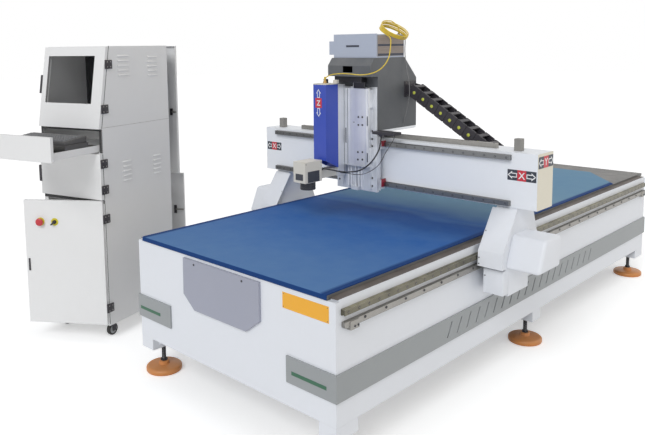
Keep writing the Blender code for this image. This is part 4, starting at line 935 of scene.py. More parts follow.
# %% Side rails and racks
for side, word, way in ((1, "right", "x"), (-1, "left", "-x")):
    rail = Piece("rail_" + word)
    rail.put(pushed("y", [(side * (0.7003 + d), 0.691 + h) for d, h in RAIL_SHAPE], 0.030, 3.490), rail_steel_y)
    grow(rail, rows_of, dark_steel, shape=socket_screw(0.0068, 0.0012, way, 8), Count=52, Step=(0, 0.0668, 0),
         First=(side * 0.7214, 0.052, 0.691))
    rail.keep("bed", ("y_rail_" + word,), "y_rail_" + word)

    rack = Piece("rack_" + word)
    low, high = sorted((side * 0.7003, side * 0.7203))
    rack.put(slab((low, 0.033, 0.6281), (high, 3.487, 0.650), 0.0008, 1), rack_steel)
    tooth = pushed("x", [(-0.0026, 0.0002), (0.0026, 0.0002), (0.0011, -0.0046), (-0.0011, -0.0046)], low, high)
    grow(rack, rows_of, rack_steel, shape=tooth, Count=535, Step=(0, TOOTH, 0), First=(0, 0.0405, 0.6281))
    grow(rack, rows_of, dark_steel, shape=socket_screw(0.0062, 0.0030, way, 10), Count=23, Step=(0, 0.142, 0),
         First=(side * 0.7203, 0.160, 0.641))
    for y in (0.062, 3.402):
        low, high = sorted((side * 0.701, side * 0.726))
        rack.put(slab((low, y, 0.610), (high, y + 0.056, 0.649), 0.003), rack_steel)
        grow(rack, rows_of, dark_steel, shape=socket_screw(0.0055, 0.0020, way, 10), Count=2, Step=(0, 0.0215, 0),
             First=(side * 0.726, y + 0.026, 0.6235))
    rack.keep("bed", ("y_rack_" + word,), "y_rack_" + word)
print("two rails with 52 bolts each, two racks with 535 teeth each")

# %% Bridge rails and rack
for word, z in (("upper", 1.187), ("lower", 0.9545)):
    rail = Piece("bridge_rail_" + word)
    rail.put(pushed("x", [(1.1947 - d, z + h * 1.035) for d, h in RAIL_SHAPE], -0.854, 0.820), rail_steel_x)
    grow(rail, rows_of, dark_steel, shape=socket_screw(0.0060, 0.0010, "-y", 8), Count=28, Step=(0.0606, 0, 0),
         First=(-0.835, 1.1736, z))
    rail.keep("gantry", ("x_rail_" + word,), "x_rail_" + word)
rack = Piece("bridge_rack")
rack.put(slab((-0.690, 1.255, 1.2143), (0.705, 1.2754, 1.240), 0.0008, 1), rack_steel)
tooth = pushed("z", [(-0.0026, -0.0002), (0.0026, -0.0002), (0.0011, 0.0046), (-0.0011, 0.0046)], 1.2143, 1.240)
grow(rack, rows_of, rack_steel, shape=tooth, Count=216, Step=(TOOTH, 0, 0), First=(-0.6865, 1.2754, 0))
grow(rack, rows_of, dark_steel, shape=socket_screw(0.0050, 0.0012, "z", 10), Count=10, Step=(0.15, 0, 0),
     First=(-0.667, 1.264, 1.240))
rack.keep("gantry", ("x_rack",), "x_rack")
print("bridge rails and rack")


# %% Pinions and screw
def pinion(name, node, body, middle, way, width):
    """A straight-toothed pinion: hub, rim and a ring of teeth."""
    gear = Piece(name)
    half = width / 2
    lie = at(middle, way)
    gear.put(turned([(0.0, -half), (0.0060, -half), (0.0060, -half + 0.001), (0.0150, -half + 0.001),
                     (0.0156, -half), (0.0162, -half), (0.0162, half), (0.0156, half), (0.0150, half - 0.001),
                     (0.0060, half - 0.001), (0.0060, half), (0.0, half)], 40), rack_steel, lie)
    tooth = pushed("z", [(-0.0004, -0.0022), (-0.0004, 0.0022), (0.0036, 0.0010), (0.0036, -0.0010)], -half, half)
    grow(gear, ring_of, rack_steel, lie, tooth, Count=20, Radius=0.0162)
    gear.keep(body, (node,), node)


for side, word in ((1, "right"), (-1, "left")):
    low, high = (Vector(c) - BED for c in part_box("y_pinion_" + word))
    pinion("pinion_" + word, "y_pinion_" + word, "y_pinion_" + word, ((low + high) / 2), "x", high.x - low.x)
low, high = (Vector(c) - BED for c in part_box("x_pinion"))
pinion("pinion_bridge", "x_pinion", "x_pinion", (low + high) / 2, "z", high.z - low.z)

lead_screw = Piece("lead_screw")
lead_screw.put(turned([(0.006, 0.916), (0.006, 0.9345), (0.009, 0.9346), (0.009, 0.9445), (0.006, 0.9446),
                       (0.006, 0.950), (0.0050, 0.9505), (0.0050, 1.4795), (0.006, 1.480), (0.006, 1.4855),
                       (0.009, 1.4856), (0.009, 1.4954), (0.006, 1.4955), (0.006, 1.540)], 24), alloy,
               at((-0.110, 1.105, 0.0)))
grow(lead_screw, thread_of, alloy, at((-0.110, 1.105, 0.951)), Radius=0.0049, Turns=52.8, Height=0.528, Ridge=0.0011,
     Steps=14)
lead_screw.keep("z_screw", ("z_screw",), "z_screw")
print("three pinions and the lead screw")

# %% [markdown]
# ## Levelling feet
# Six feet carry the bed. Each is a broad rust-coloured pad with a dark threaded stud that screws up into a post,
# and a nut that locks it. The pad is a turned outline, the nut a six-sided one, and the thread a spiral.

# %% Feet
pad_paint = painted("pad_paint", rgb(206, 134, 70), 0.40, 0.30, 240.0, 0.10, 0.002, 0.16, worn=rgb(120, 78, 46), wear=0.6)
FOOT_SPOTS = {"front": 0.0887, "middle": 1.772, "rear": 3.431}
for row, y in FOOT_SPOTS.items():
    for side, word in ((1, "right"), (-1, "left")):
        lie = at((side * 0.632, y, 0.0))
        foot = Piece("levelling_foot_" + row + "_" + word)
        foot.put(turned([(0.0, 0.0), (0.088, 0.0), (0.0945, 0.002), (0.097, 0.007), (0.097, 0.020), (0.0955, 0.0245),
                         (0.090, 0.0290), (0.080, 0.0322), (0.034, 0.0338), (0.030, 0.0350), (0.0275, 0.0440),
                         (0.0265, 0.0505), (0.0240, 0.0525), (0.0, 0.0530)], 72), pad_paint, lie)
        foot.put(turned([(0.0, 0.0525), (0.0108, 0.0525), (0.0108, 0.1600), (0.0, 0.1600)], 24), dark_steel, lie)
        grow(foot, thread_of, dark_steel, lie @ Matrix.Translation((0, 0, 0.056)), Radius=0.0106, Turns=28.0,
             Height=0.085, Ridge=0.0014, Steps=16)
        foot.put(turned([(0.0185, 0.1410), (0.0200, 0.1425), (0.0200, 0.1632), (0.0185, 0.1647)], 6), dark_steel, lie)
        foot.put(turned([(0.0, 0.0530), (0.0190, 0.0530), (0.0190, 0.0620), (0.0170, 0.0640), (0.0, 0.0640)], 6),
                 dark_steel, lie)
        node = "foot_" + row + "_" + word
        foot.keep("bed", (node,), node)


def square_tube(low, high, wall):
    """An upright tube with four corners, open at both ends."""
    part = bmesh.new()
    rings = []
    for inset, z in ((0.0, low[2]), (0.0, high[2]), (wall, high[2]), (wall, low[2])):
        x0, y0, x1, y1 = low[0] + inset, low[1] + inset, high[0] - inset, high[1] - inset
        rings.append([part.verts.new((x, y, z)) for x, y in ((x0, y0), (x1, y0), (x1, y1), (x0, y1))])
    for a, b in zip(rings, rings[1:] + rings[:1]):
        for k in range(4):
            part.faces.new((a[k], a[(k + 1) % 4], b[(k + 1) % 4], b[k]))
    bmesh.ops.recalc_face_normals(part, faces=part.faces[:])
    return part


shoes = Piece("post_shoes")
for fore, aft in ((0.0004, 0.1389), (1.7218, 1.8222), (3.3808, 3.5196)):
    for inner, outer in ((0.6000, 0.6996), (-0.6996, -0.6000)):
        shoes.put(square_tube((inner, fore, 0.142), (outer, aft, 0.2049), 0.006), white_paint)
shoes.keep("bed", slot="bed_frame")
print("six feet, six shoes")

# %% [markdown]
# ## The drag chain
# A black plastic chain carries the cables from the bridge to the moving carriage. It leaves the hood, runs down
# behind the bridge, turns back on itself and ends on a shelf. Each link has two side plates, two cross bars and
# a yellow-green pin cap. It is modelled link by link along the real route: an upper run, a bend and a lower run.

# %% Chain link
cap_green = moulded("pin_cap", rgb(196, 202, 74), 0.45, 0.12, wear=0.0)
LINK, TALL, WIDE = 0.070, 0.075, 0.100


def chain_link():
    """One link, its run along x: plates with a step where they lap, and cross bars."""
    link = bmesh.new()
    parts = []
    for side in (-1, 1):
        outer, inner = side * WIDE / 2, side * (WIDE / 2 - 0.009)
        lap = side * (WIDE / 2 - 0.017)
        plate = [(-0.0345, -0.0325), (-0.031, -0.0365), (0.030, -0.0365), (0.0345, -0.0320), (0.0345, 0.0320),
                 (0.030, 0.0365), (-0.031, 0.0365), (-0.0345, 0.0325)]
        parts.append(pushed("y", plate, outer, inner, 0.0012, 1))
        tongue = [(0.020, -0.026), (0.050, -0.020), (0.056, 0.0), (0.050, 0.020), (0.020, 0.026)]
        parts.append(pushed("y", tongue, inner + side * 0.0004, lap))
        parts.append(moved(turned([(0.0125, 0.0), (0.0125, 0.0014), (0.0115, 0.0022), (0.0, 0.0022)], 14),
                           at((0.0, outer, 0.0), "y" if side > 0 else "-y")))
    for z in (-1, 1):
        for x in (-0.013,):
            parts.append(slab((x - 0.011, -WIDE / 2 + 0.001, min(z * 0.0300, z * 0.0375)),
                              (x + 0.011, WIDE / 2 - 0.001, max(z * 0.0300, z * 0.0375)), 0.0012, 1))
    for part in parts:
        loose = bpy.data.meshes.new("part")
        part.to_mesh(loose)
        part.free()
        link.from_mesh(loose)
        bpy.data.meshes.remove(loose)
    return link


def pin_cap():
    """The coloured cap on the link's near side."""
    return moved(turned([(0.0095, 0.0), (0.0095, 0.0012), (0.0080, 0.0022), (0.0, 0.0024)], 16),
                 at((0.0, -WIDE / 2 - 0.0010, 0.0), "-y"))


sample = chain_link()
print("faces in a link", len(sample.faces))
sample.free()

# %% Chain runs
CHAIN_Y = 1.422
TOP_START = Vector((0.0853, CHAIN_Y, 1.4895))
TOP_END = Vector((0.600, CHAIN_Y, 1.175))
HUB = Vector((0.549, CHAIN_Y, 1.089))
BEND_R = 0.100
down = (TOP_END - TOP_START).normalized()
first = 0.0317
top_run = [TOP_START + down * (first + LINK * k) for k in range(9)]
after_bend = (TOP_END - TOP_START).length
turn_from = math.atan2(TOP_END.z - HUB.z, TOP_END.x - HUB.x)
bend = []
for k in range(9, 12):
    angle = turn_from - (first + LINK * k - after_bend) / BEND_R
    bend.append(HUB + Vector((math.cos(angle), 0, math.sin(angle))) * BEND_R)
arc = (turn_from + math.pi / 2) * BEND_R
low_run = [Vector((HUB.x - (first + LINK * k - after_bend - arc), CHAIN_Y, HUB.z - BEND_R)) for k in range(12, 20)]
for name, spots, stands_for in (("chain_upper", top_run, ("x_drag_chain",)), ("chain_bend", bend, ()),
                                ("chain_lower", low_run, ())):
    run = Piece(name)
    grow(run, links_on, black_plastic, shape=chain_link(), path=spots, Count=len(spots))
    grow(run, links_on, cap_green, shape=pin_cap(), path=spots, Count=len(spots))
    made = run.keep(stands_for=stands_for, slot="x_drag_chain")
    if name == "chain_upper":
        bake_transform(made)
    elif name == "chain_bend":
        far = Vector((1000.0, 0.0, 0.0))
        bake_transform(made)
    else:
        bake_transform(made)
print("chain links", len(top_run), len(bend), len(low_run))

# %% Chain ends
ends = Piece("chain_end_hood")
ends.put(slab((0.0453, 1.365, 1.447), (0.0505, 1.479, 1.540), 0.0015), black_plastic)
for y in (1.3735, 1.4625):
    ends.put(slab((0.048, y, 1.462), (0.128, y + 0.008, 1.520), 0.003), black_plastic,
             Matrix.Translation((0.07, 1.42, 1.491)) @ Matrix.Rotation(0.22, 4, "Y") @ Matrix.Translation((-0.07, -1.42, -1.491)))
grow(ends, rows_of, dark_steel, shape=socket_screw(0.004, 0.003, "x"), Count=2, Step=(0, 0.098, 0), Rows=2,
     Row_Step=(0, 0, 0.076), First=(0.0505, 1.373, 1.455))
ends.keep("carriage", slot="x_drag_chain")
shoe = Piece("chain_end_shelf")
shoe.put(slab((-0.060, 1.377, 0.9752), (0.020, 1.467, 0.981), 0.001), dark_steel)
for y in (1.3735, 1.4625):
    shoe.put(slab((-0.058, y, 0.976), (0.022, y + 0.008, 1.018), 0.002), black_plastic)
grow(shoe, rows_of, rack_steel, shape=socket_screw(0.004, 0.003, "z"), Count=2, Step=(0.045, 0, 0), Rows=2,
     Row_Step=(0, 0.05, 0), First=(-0.042, 1.397, 0.981))
shoe.keep("gantry", slot="x_drag_chain")
print("both ends of the chain are held")

# %% [markdown]
# ## Plates on the bridge and the column
# Painted plates show which way each axis moves: a dark strip with a red square, a white letter and two outlined
# arrows. They are thin sheet, so each is a real plate with a little thickness. The letter is text made into a mesh
# before it is placed. One function draws the plate flat, and a matrix stands it where it belongs.

# %% Axis plates
sign_dark = painted("sign_dark", rgb(52, 58, 70), 0.42, 0.12, radius=0.0004, dusty=0.08)
sign_red = painted("sign_red", rgb(208, 54, 68), 0.40, 0.10, radius=0.0004, dusty=0.06)
sign_white = painted("sign_white", rgb(240, 240, 240), 0.42, 0.04, radius=0.0002, dusty=0.06)


def letter(word, tall):
    """A letter as a thin solid, centred on the origin, facing up."""
    font = bpy.data.curves.new("letter", "FONT")
    font.body = word
    font.align_x, font.align_y = "CENTER", "CENTER"
    font.size = tall * 1.38
    font.extrude = 0.0002
    font.offset = tall * 0.022
    sign = bpy.data.objects.new("letter", font)
    bpy.context.scene.collection.objects.link(sign)
    skin = bpy.data.meshes.new_from_object(sign.evaluated_get(bpy.context.evaluated_depsgraph_get()))
    part = bmesh.new()
    part.from_mesh(skin)
    bpy.data.objects.remove(sign)
    bpy.data.curves.remove(font)
    bpy.data.meshes.remove(skin)
    bmesh.ops.remove_doubles(part, verts=part.verts[:], dist=1e-6)
    bmesh.ops.recalc_face_normals(part, faces=part.faces[:])
    low = Vector([min(v.co[i] for v in part.verts) for i in range(3)])
    high = Vector([max(v.co[i] for v in part.verts) for i in range(3)])
    part.transform(Matrix.Translation(-(low + high) / 2))
    return part


def arrow(reach, half, grow_by=0.0):
    """The outline of an arrow that points along x, from its tail at the origin."""
    g = grow_by
    neck, stem = reach * 0.52, half * 0.56
    return [(0.0 + g, -stem + g), (neck + g * 0.6, -stem + g), (neck + g * 0.6, -half + g * 2.2), (reach - g * 1.5, 0.0),
            (neck + g * 0.6, half - g * 2.2), (neck + g * 0.6, stem - g), (0.0 + g, stem - g)]


def axis_plate(name, word, long, tall, stands, body, slot, upright=False, back=sign_dark, red=0.86):
    """A plate with a letter on a red square between two arrows; red is the square's share of the height."""
    plate = Piece(name)
    half = tall / 2
    plate.put(slab((-long / 2, -half, 0.0), (long / 2, half, 0.0010), 0.0003, 1), back, stands)
    plate.put(slab((-half * red, -half, 0.0010), (half * red, half, 0.0013), 0.0001, 1), sign_red, stands)
    turn = Matrix.Rotation(-math.pi / 2 if upright else 0.0, 4, "Z")
    plate.put(letter(word, tall * 0.62), sign_white, stands @ turn @ Matrix.Translation((0, 0, 0.0015)))
    reach = long / 2 - half * (red + 0.12)
    for side in (0.0, math.pi):
        lie = stands @ Matrix.Rotation(side, 4, "Z") @ Matrix.Translation((half * (red + 0.07), 0, 0))
        plate.put(pushed("z", arrow(reach, half * 0.74), 0.0010, 0.0013), sign_white, lie)
        plate.put(pushed("z", arrow(reach, half * 0.74, half * 0.17), 0.0013, 0.0015), back, lie)
    plate.keep(body, slot=slot)


FRONT = Matrix.Rotation(math.pi / 2, 4, "X")
RIGHT = Matrix.Rotation(math.pi / 2, 4, "Z") @ FRONT
axis_plate("plate_x_right", "X", 0.152, 0.054, Matrix.Translation((0.8755, 1.195, 1.100)) @ FRONT, "gantry", "gantry_beam")
axis_plate("plate_x_left", "X", 0.130, 0.052, Matrix.Translation((-0.8835, 1.195, 1.092)) @ FRONT, "gantry", "gantry_beam")
axis_plate("plate_y_right", "Y", 0.158, 0.058, Matrix.Translation((0.958, 1.280, 1.170)) @ RIGHT, "gantry", "gantry_beam")
UPWARD = Matrix.Translation((-0.2170, 0.909, 1.4290)) @ FRONT @ Matrix.Rotation(math.pi / 2, 4, "Z")
axis_plate("plate_z_column", "Z", 0.160, 0.049, UPWARD, "z_slide", "column_cover", True, column_paint, 1.12)
print("four axis plates")

# %% [markdown]
# ## Bed details
# The front carries a bare yellow plate, the grey cover's screws and, on each end of the grey band, a green strip.
# The table behind the mat is a grey board, screwed down along its edges, and a brown strip covers the joint
# between the table and each side of the bed; its dark brown is partly the table edge and partly painted shade.

# %% Bed plates, strips and screws
plate_yellow = painted("plate_yellow", rgb(243, 176, 44), 0.40, 0.10, radius=0.0004, dusty=0.05, worn=rgb(206, 160, 70), wear=0.4)
strip_green = painted("strip_green", rgb(46, 100, 74), 0.45, 0.14, radius=0.0008, dusty=0.08)
table_board = painted("table_board", rgb(98, 97, 96), 0.50, 0.16, 160.0, 0.08, dusty=0.25)
stop_grey = painted("stop_grey", rgb(140, 138, 134), 0.48, 0.10, dusty=0.12, worn=rgb(186, 184, 180), wear=0.4)
for name, finish in (("table_top", table_board), ("x_end_stop_right", stop_grey), ("x_end_stop_left", stop_grey)):
    for slot in NODES[name].material_slots:
        slot.material = finish
blank = Piece("plate_blank")
blank.put(slab((0.397, -0.0010, 0.641), (0.663, 0.0, 0.712), 0.0004, 1), plate_yellow)
grow(blank, rows_of, dark_steel, shape=socket_screw(0.0022, 0.0008, "-y", 8), Count=2, Step=(0.252, 0, 0), Rows=2,
     Row_Step=(0, 0, 0.057), First=(0.404, -0.0010, 0.648))
blank.keep("bed", slot="front_cover")
for word, x0, x1 in (("left", -0.689, -0.509), ("right", 0.453, 0.654)):
    strip = Piece("strip_green_" + word)
    strip.put(slab((x0, -0.0092, 0.3585), (x1, -0.0080, 0.3755), 0.0005, 1), strip_green)
    strip.keep("bed", slot="side_trim_" + word)
cover = Piece("front_cover_screws")
grow(cover, rows_of, dark_steel, shape=socket_screw(0.0052, 0.0026, "-y"), Count=2, Step=(0.352, 0, 0),
     First=(-0.205, -0.0123, 0.702))
cover.keep("bed", slot="front_cover")
board = Piece("table_screws")
grow(board, rows_of, dark_steel, shape=turned([(0.007, 0.0), (0.0064, 0.0006), (0.0026, 0.0006), (0.0020, 0.0002),
                                               (0.0, 0.0002)], 12), Count=7, Step=(0.2, 0, 0), First=(-0.6, 3.535, 0.756))
board.keep("bed", slot="table_top")
# Painted shade: the strips' dark brown stands partly for the table edge and partly for shade in the gap beside the mat.
edge_brown = painted("edge_brown", rgb(86, 77, 72), 0.62, 0.20, dusty=0.15)
for word, low, high in (("right", 0.6546, 0.6970), ("left", -0.6970, -0.6546)):
    edge = Piece("table_edge_" + word)
    edge.put(slab((low, 0.012, 0.7440), (high, 3.505, 0.7447), 0.0002, 1), edge_brown)
    edge.keep("bed", slot="bed_frame")
print("blank plate, strips and screws")

# %% [markdown]
# ## Bridge covers
# Each leg has a bent sheet in front, leaning forward, with folded sides, and a short box under it. A rounded box
# with a leaning front covers the drive. All are folded and pushed outlines with round edges. The few dark screws
# on the sheet's inner edge are what the eye finds there.

# %% Leg sheets and drive covers
BENT_LINE = [(1.1848, 0.9240), (1.0470, 0.7290), (1.0430, 0.6490)]
for side, word, way in ((1, "right", "x"), (-1, "left", "-x")):
    inner, outer = side * 0.7262, side * 0.8618
    sheet = Piece("leg_sheet_" + word)
    fold = BENT_LINE + [(y + 0.0024, z) for y, z in reversed(BENT_LINE)]
    sheet.put(pushed("x", fold, *sorted((inner, outer)), 0.0006, 1), white_paint)
    web = [(y + 0.0022, z - 0.0006) for y, z in BENT_LINE] + [(1.0874, 0.6484), (1.0874, 0.7000), (1.1873, 0.9234)]
    for x in (side * 0.7424, side * 0.8594):
        sheet.put(pushed("x", web, x - 0.0012, x + 0.0012), white_paint)
    for y, z in ((1.1085, 0.8163), (1.0448, 0.6919), (1.0434, 0.6615)):
        sheet.put(socket_screw(0.0034, 0.0014, "-y"), dark_steel, Matrix.Translation((side * 0.7335, y + 0.0004, z)))
    sheet.keep("gantry", ("leg_cover_" + word,), "leg_cover_" + word)
    foot = Piece("leg_foot_" + word)
    low, high = sorted((side * 0.7457, side * 0.8548))
    foot.put(slab((low, 1.0670, 0.5110), (high, 1.1240, 0.6390), 0.004), white_paint)
    foot.put(socket_screw(0.0034, 0.0012, "-y"), dark_steel, Matrix.Translation((side * 0.7560, 1.0670, 0.6000)))
    foot.keep("gantry", slot="gantry_leg_" + word)
    cover = Piece("drive_hood_" + word)
    hood = [(1.1580, 0.8060), (1.0890, 0.6470), (1.3180, 0.6470), (1.3260, 0.8060)]
    box = pushed("x", hood, *sorted((side * 0.8552, side * 1.0298)))
    open_end = [e for e in box.edges if all(abs(v.co.x) < 0.9 for v in e.verts)]
    outer_edges = [e for e in box.edges if e not in open_end]
    bmesh.ops.bevel(box, geom=outer_edges, offset=0.018, segments=5, profile=0.5, affect="EDGES")
    cover.put(box, white_paint)
    cover.keep("gantry", ("y_drive_cover_" + word,), "y_drive_cover_" + word)
print("sheets, feet and drive covers on both legs")

# %% [markdown]
# ## The carriage up close
# The laser box has a pale front with a slot, and a brown-grey side of two ribbed panels. Under the hood's lip sits
# the dark bracket of the Z motor. The slide's front plate is an extrusion, so it shows upright ribs and grooves,
# two slots and eight bolts. All of these are thin bars and screws, laid on the solids that carry them; the slots,
# grooves and panel gaps are dark bars, painted shade where the real ones are recessed.

# %% Laser box and motor bracket
laser_side = painted("laser_side", rgb(150, 138, 131), 0.46, 0.12, worn=rgb(186, 178, 170), wear=0.4)
# Painted shade: slots, grooves and panel gaps are dark bars laid on the surface, standing for their shaded recesses.
slot_dark = painted("slot_dark", rgb(62, 66, 80), 0.60, 0.10, dusty=0.05)
box_trim = Piece("laser_panels")
box_trim.put(slab((-0.1718, 1.0985, 1.7412), (-0.0752, 1.1009, 1.7518), 0.0003, 1), slot_dark)
box_trim.put(slab((0.0445, 1.112, 1.690), (0.0475, 1.356, 1.806), 0.001, 1), laser_side)
for low, high in ((1.745, 1.757), (1.692, 1.704)):
    box_trim.put(slab((0.0470, 1.114, low), (0.0481, 1.354, high), 0.0003, 1), slot_dark)
grow(box_trim, rows_of, laser_side, shape=slab((-0.0006, -0.110, -0.0012), (0.0008, 0.110, 0.0012)), Count=4,
     Step=(0, 0, 0.0085), Rows=2, Row_Step=(0, 0, 0.052), First=(0.0475, 1.234, 1.712))
box_trim.keep("carriage", slot="laser_source")
bracket = Piece("motor_bracket")
bracket.put(slab((-0.235, 1.066, 1.5430), (-0.035, 1.116, 1.5745), 0.002, 1), dark_steel)
bracket.put(slab((-0.092, 1.0660, 1.5090), (-0.010, 1.0735, 1.5440), 0.0015, 1), dark_steel)
bracket.keep("carriage", slot="z_base")
shut = Piece("hood_front_plate")
shut.put(slab((-0.2665, 1.1185, 1.5175), (0.0415, 1.1215, 1.5770), 0.0006, 1), hood_paint)
shut.keep("carriage", slot="carriage_hood")
print("laser panels and motor bracket")

# %% Slide plate
face = Piece("slide_ribs")
for low, high in ((-0.1395, -0.1300), (-0.0125, -0.0020)):
    face.put(slab((low, 1.0730, 1.063), (high, 1.0752, 1.506), 0.0008), alloy)
for low, high, under, over in ((-0.1446, -0.1420, 1.063, 1.506), (-0.1600, -0.1530, 1.189, 1.277),
                               (-0.0010, 0.0050, 1.298, 1.352), (-0.0010, 0.0050, 1.090, 1.142)):
    face.put(slab((low, 1.0744, under), (high, 1.0751, over), 0.0002, 1), slot_dark)
face.put(slab((-0.1652, 1.0680, 1.012), (-0.1643, 1.0712, 1.526), 0.0002, 1), slot_dark)
face.put(slab((-0.1652, 1.0160, 1.006), (-0.1640, 1.0250, 1.526), 0.0004, 1), alloy)
for x, z in ((-0.063, 1.345), (-0.034, 1.346), (-0.063, 1.299), (-0.034, 1.301), (-0.067, 1.142), (-0.034, 1.145),
             (-0.0675, 1.099), (-0.034, 1.102)):
    face.put(socket_screw(0.0058, 0.0022, "-y", 12), dark_steel, Matrix.Translation((x, 1.075, z)))
face.put(socket_screw(0.0040, 0.0012, "-y", 12), rack_steel, Matrix.Translation((-0.096, 1.075, 1.3136)))
face.keep("z_slide", slot="z_plate")
edge = Piece("slide_base_bolts")
grow(edge, rows_of, alloy, shape=slab((-0.0035, -0.0015, 0.0), (0.0035, 0.0003, 0.590), 0.0006, 1), Count=2,
     Step=(0.017, 0, 0), First=(0.0150, 1.1153, 0.920))
for z in (1.265, 1.2195, 1.179, 0.994, 0.947):
    edge.put(socket_screw(0.0060, 0.0018, "-y", 12), dark_steel, Matrix.Translation((0.0064, 1.1153, z)))
for z in (0.960, 0.993):
    edge.put(socket_screw(0.0060, 0.0026, "-y", 12), dark_steel, Matrix.Translation((-0.240, 1.1153, z)))
edge.keep("carriage", slot="z_base")
# Painted highlight: the fins are alloy made whiter and less metallic, so they stay bright in the shade under the slide
# plate.
fin_bright = bare("fin_bright", rgb(238, 239, 242), 0.5, (420.0, 420.0, 3.0), 0.06, 0.05, dusty=0.04, metal=0.2)
fins = Piece("base_fins")
for x in (-0.160, -0.142, -0.084, -0.066):
    fins.put(slab((x - 0.0022, 1.0988, 0.9350), (x + 0.0082, 1.1004, 1.4950), 0.0006, 1), fin_bright)
fins.keep("carriage", slot="z_base")
print("slide plate ribs, slots and bolts")

# %% Seals, clamp screws and coupling
seal_red = moulded("seal_red", rgb(150, 36, 52), 0.55, wear=0.0)
seals = Piece("block_seals")
for low, high in ((1.1755, 1.208), (0.941, 0.987)):
    seals.put(slab((0.0418, 1.152, low), (0.0470, 1.1885, high), 0.0012), seal_red)
seals.keep("carriage", slot="x_carriage")
clamp = Piece("clamp_screws")
grow(clamp, rows_of, rack_steel, shape=socket_screw(0.0028, 0.0012, "-y", 10), Count=2, Step=(0.032, 0, 0),
     First=(0.0815, 1.074, 1.2495))
clamp.keep("carriage", slot="x_carriage")
coupling = Piece("screw_coupling")
coupling.put(turned([(0.0, 1.5165), (0.0118, 1.5165), (0.0124, 1.5172), (0.0124, 1.5255), (0.0112, 1.5260),
                     (0.0112, 1.5285), (0.0124, 1.5290), (0.0124, 1.5390), (0.0118, 1.5397), (0.0, 1.5397)], 28),
             alloy, at((-0.110, 1.105, 0.0)))
coupling.keep("z_screw", slot="z_screw")
print("seals, clamp screws and coupling")

# %% [markdown]
# The column is a folded blue cover with a pale cap, where the fibre plugs in. The scan head below it has dark
# window panels and a round lens: a black ribbed barrel with a shallow glass in the end, made by turning.

# %% Column cap and scan head
low, high = (Vector(c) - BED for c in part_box("column_cover"))
cap = Piece("column_cap")
cap.put(slab((low.x - 0.0008, low.y - 0.0008, high.z - 0.006), (high.x + 0.0008, high.y, high.z + 0.0012), 0.0008, 1),
        head_paint)
cap.put(slab((-0.175, 0.985, high.z), (-0.150, 1.008, high.z + 0.020), 0.002), head_paint)
cap.put(slab((-0.240, 0.975, high.z), (-0.218, 0.995, high.z + 0.024), 0.002), black_plastic)
cap.keep("z_slide", slot="column_cover")
lens_black = moulded("lens_black", rgb(40, 42, 48), 0.34, wear=0.5)
panel_black = painted("panel_black", rgb(52, 56, 66), 0.30, 0.10, radius=0.0006, dusty=0.06)
head = Piece("head_panels")
head.put(slab((-0.2400, 0.7370, 1.0080), (-0.1830, 0.7385, 1.0440), 0.0004, 1), panel_black)
head.put(slab((-0.1656, 0.7580, 0.9955), (-0.1640, 0.8530, 1.0570), 0.0005, 1), panel_black)
for y in (0.7450, 0.8660):
    head.put(socket_screw(0.0026, 0.0010, "x", 10), dark_steel, Matrix.Translation((-0.165, y, 1.100)))
head.keep("z_slide", slot="scan_head")
glass_blue, tree, shader = start("lens_glass")
depth = add(tree, "ShaderNodeTexNoise", {"Vector": add(tree, "ShaderNodeTexCoord").outputs["Object"], "Scale": 18.0})
tint = add(tree, "ShaderNodeMix", {0: depth.outputs[0], 6: rgb(40, 52, 92), 7: rgb(70, 60, 110)}, data_type="RGBA")
tree.links.new(tint.outputs[2], shader.inputs["Base Color"])
shader.inputs["Roughness"].default_value = 0.06
shader.inputs["Coat Weight"].default_value = 0.6
lens = Piece("scan_lens_barrel")
lens.put(turned([(0.036, 0.9530), (0.0365, 0.9485), (0.0390, 0.9480), (0.0425, 0.9490), (0.0440, 0.9510),
                 (0.0440, 0.9600), (0.0430, 0.9607), (0.0430, 0.9640), (0.0440, 0.9647), (0.0440, 0.9740),
                 (0.0430, 0.9747), (0.0430, 0.9780), (0.0440, 0.9787), (0.0440, 0.9927)], 56), lens_black,
         at((-0.211, 0.806, 0.0)))
lens.put(turned([(0.0, 0.9505), (0.012, 0.9508), (0.024, 0.9516), (0.036, 0.9530), (0.0, 0.9535)], 40), glass_blue,
         at((-0.211, 0.806, 0.0)))
lens.keep("z_slide", ("scan_lens",), "scan_lens")
print("column cap, head panels and lens")

# %% [markdown]
# ## The control cabinet
# The cabinet is folded sheet on four casters, with louvres pressed into its sides, black hinges over the door
# gaps and black pull latches. A louvre is one small wedge that a tree repeats. The doors' gaps are dark rubber
# seals, which is what draws the upright lines on the right side.

# %% Louvres, hinges and seals
def lean(z):
    """How far the leaning front lies back at a height."""
    return max(0.0, z - 1.283) * 0.17557


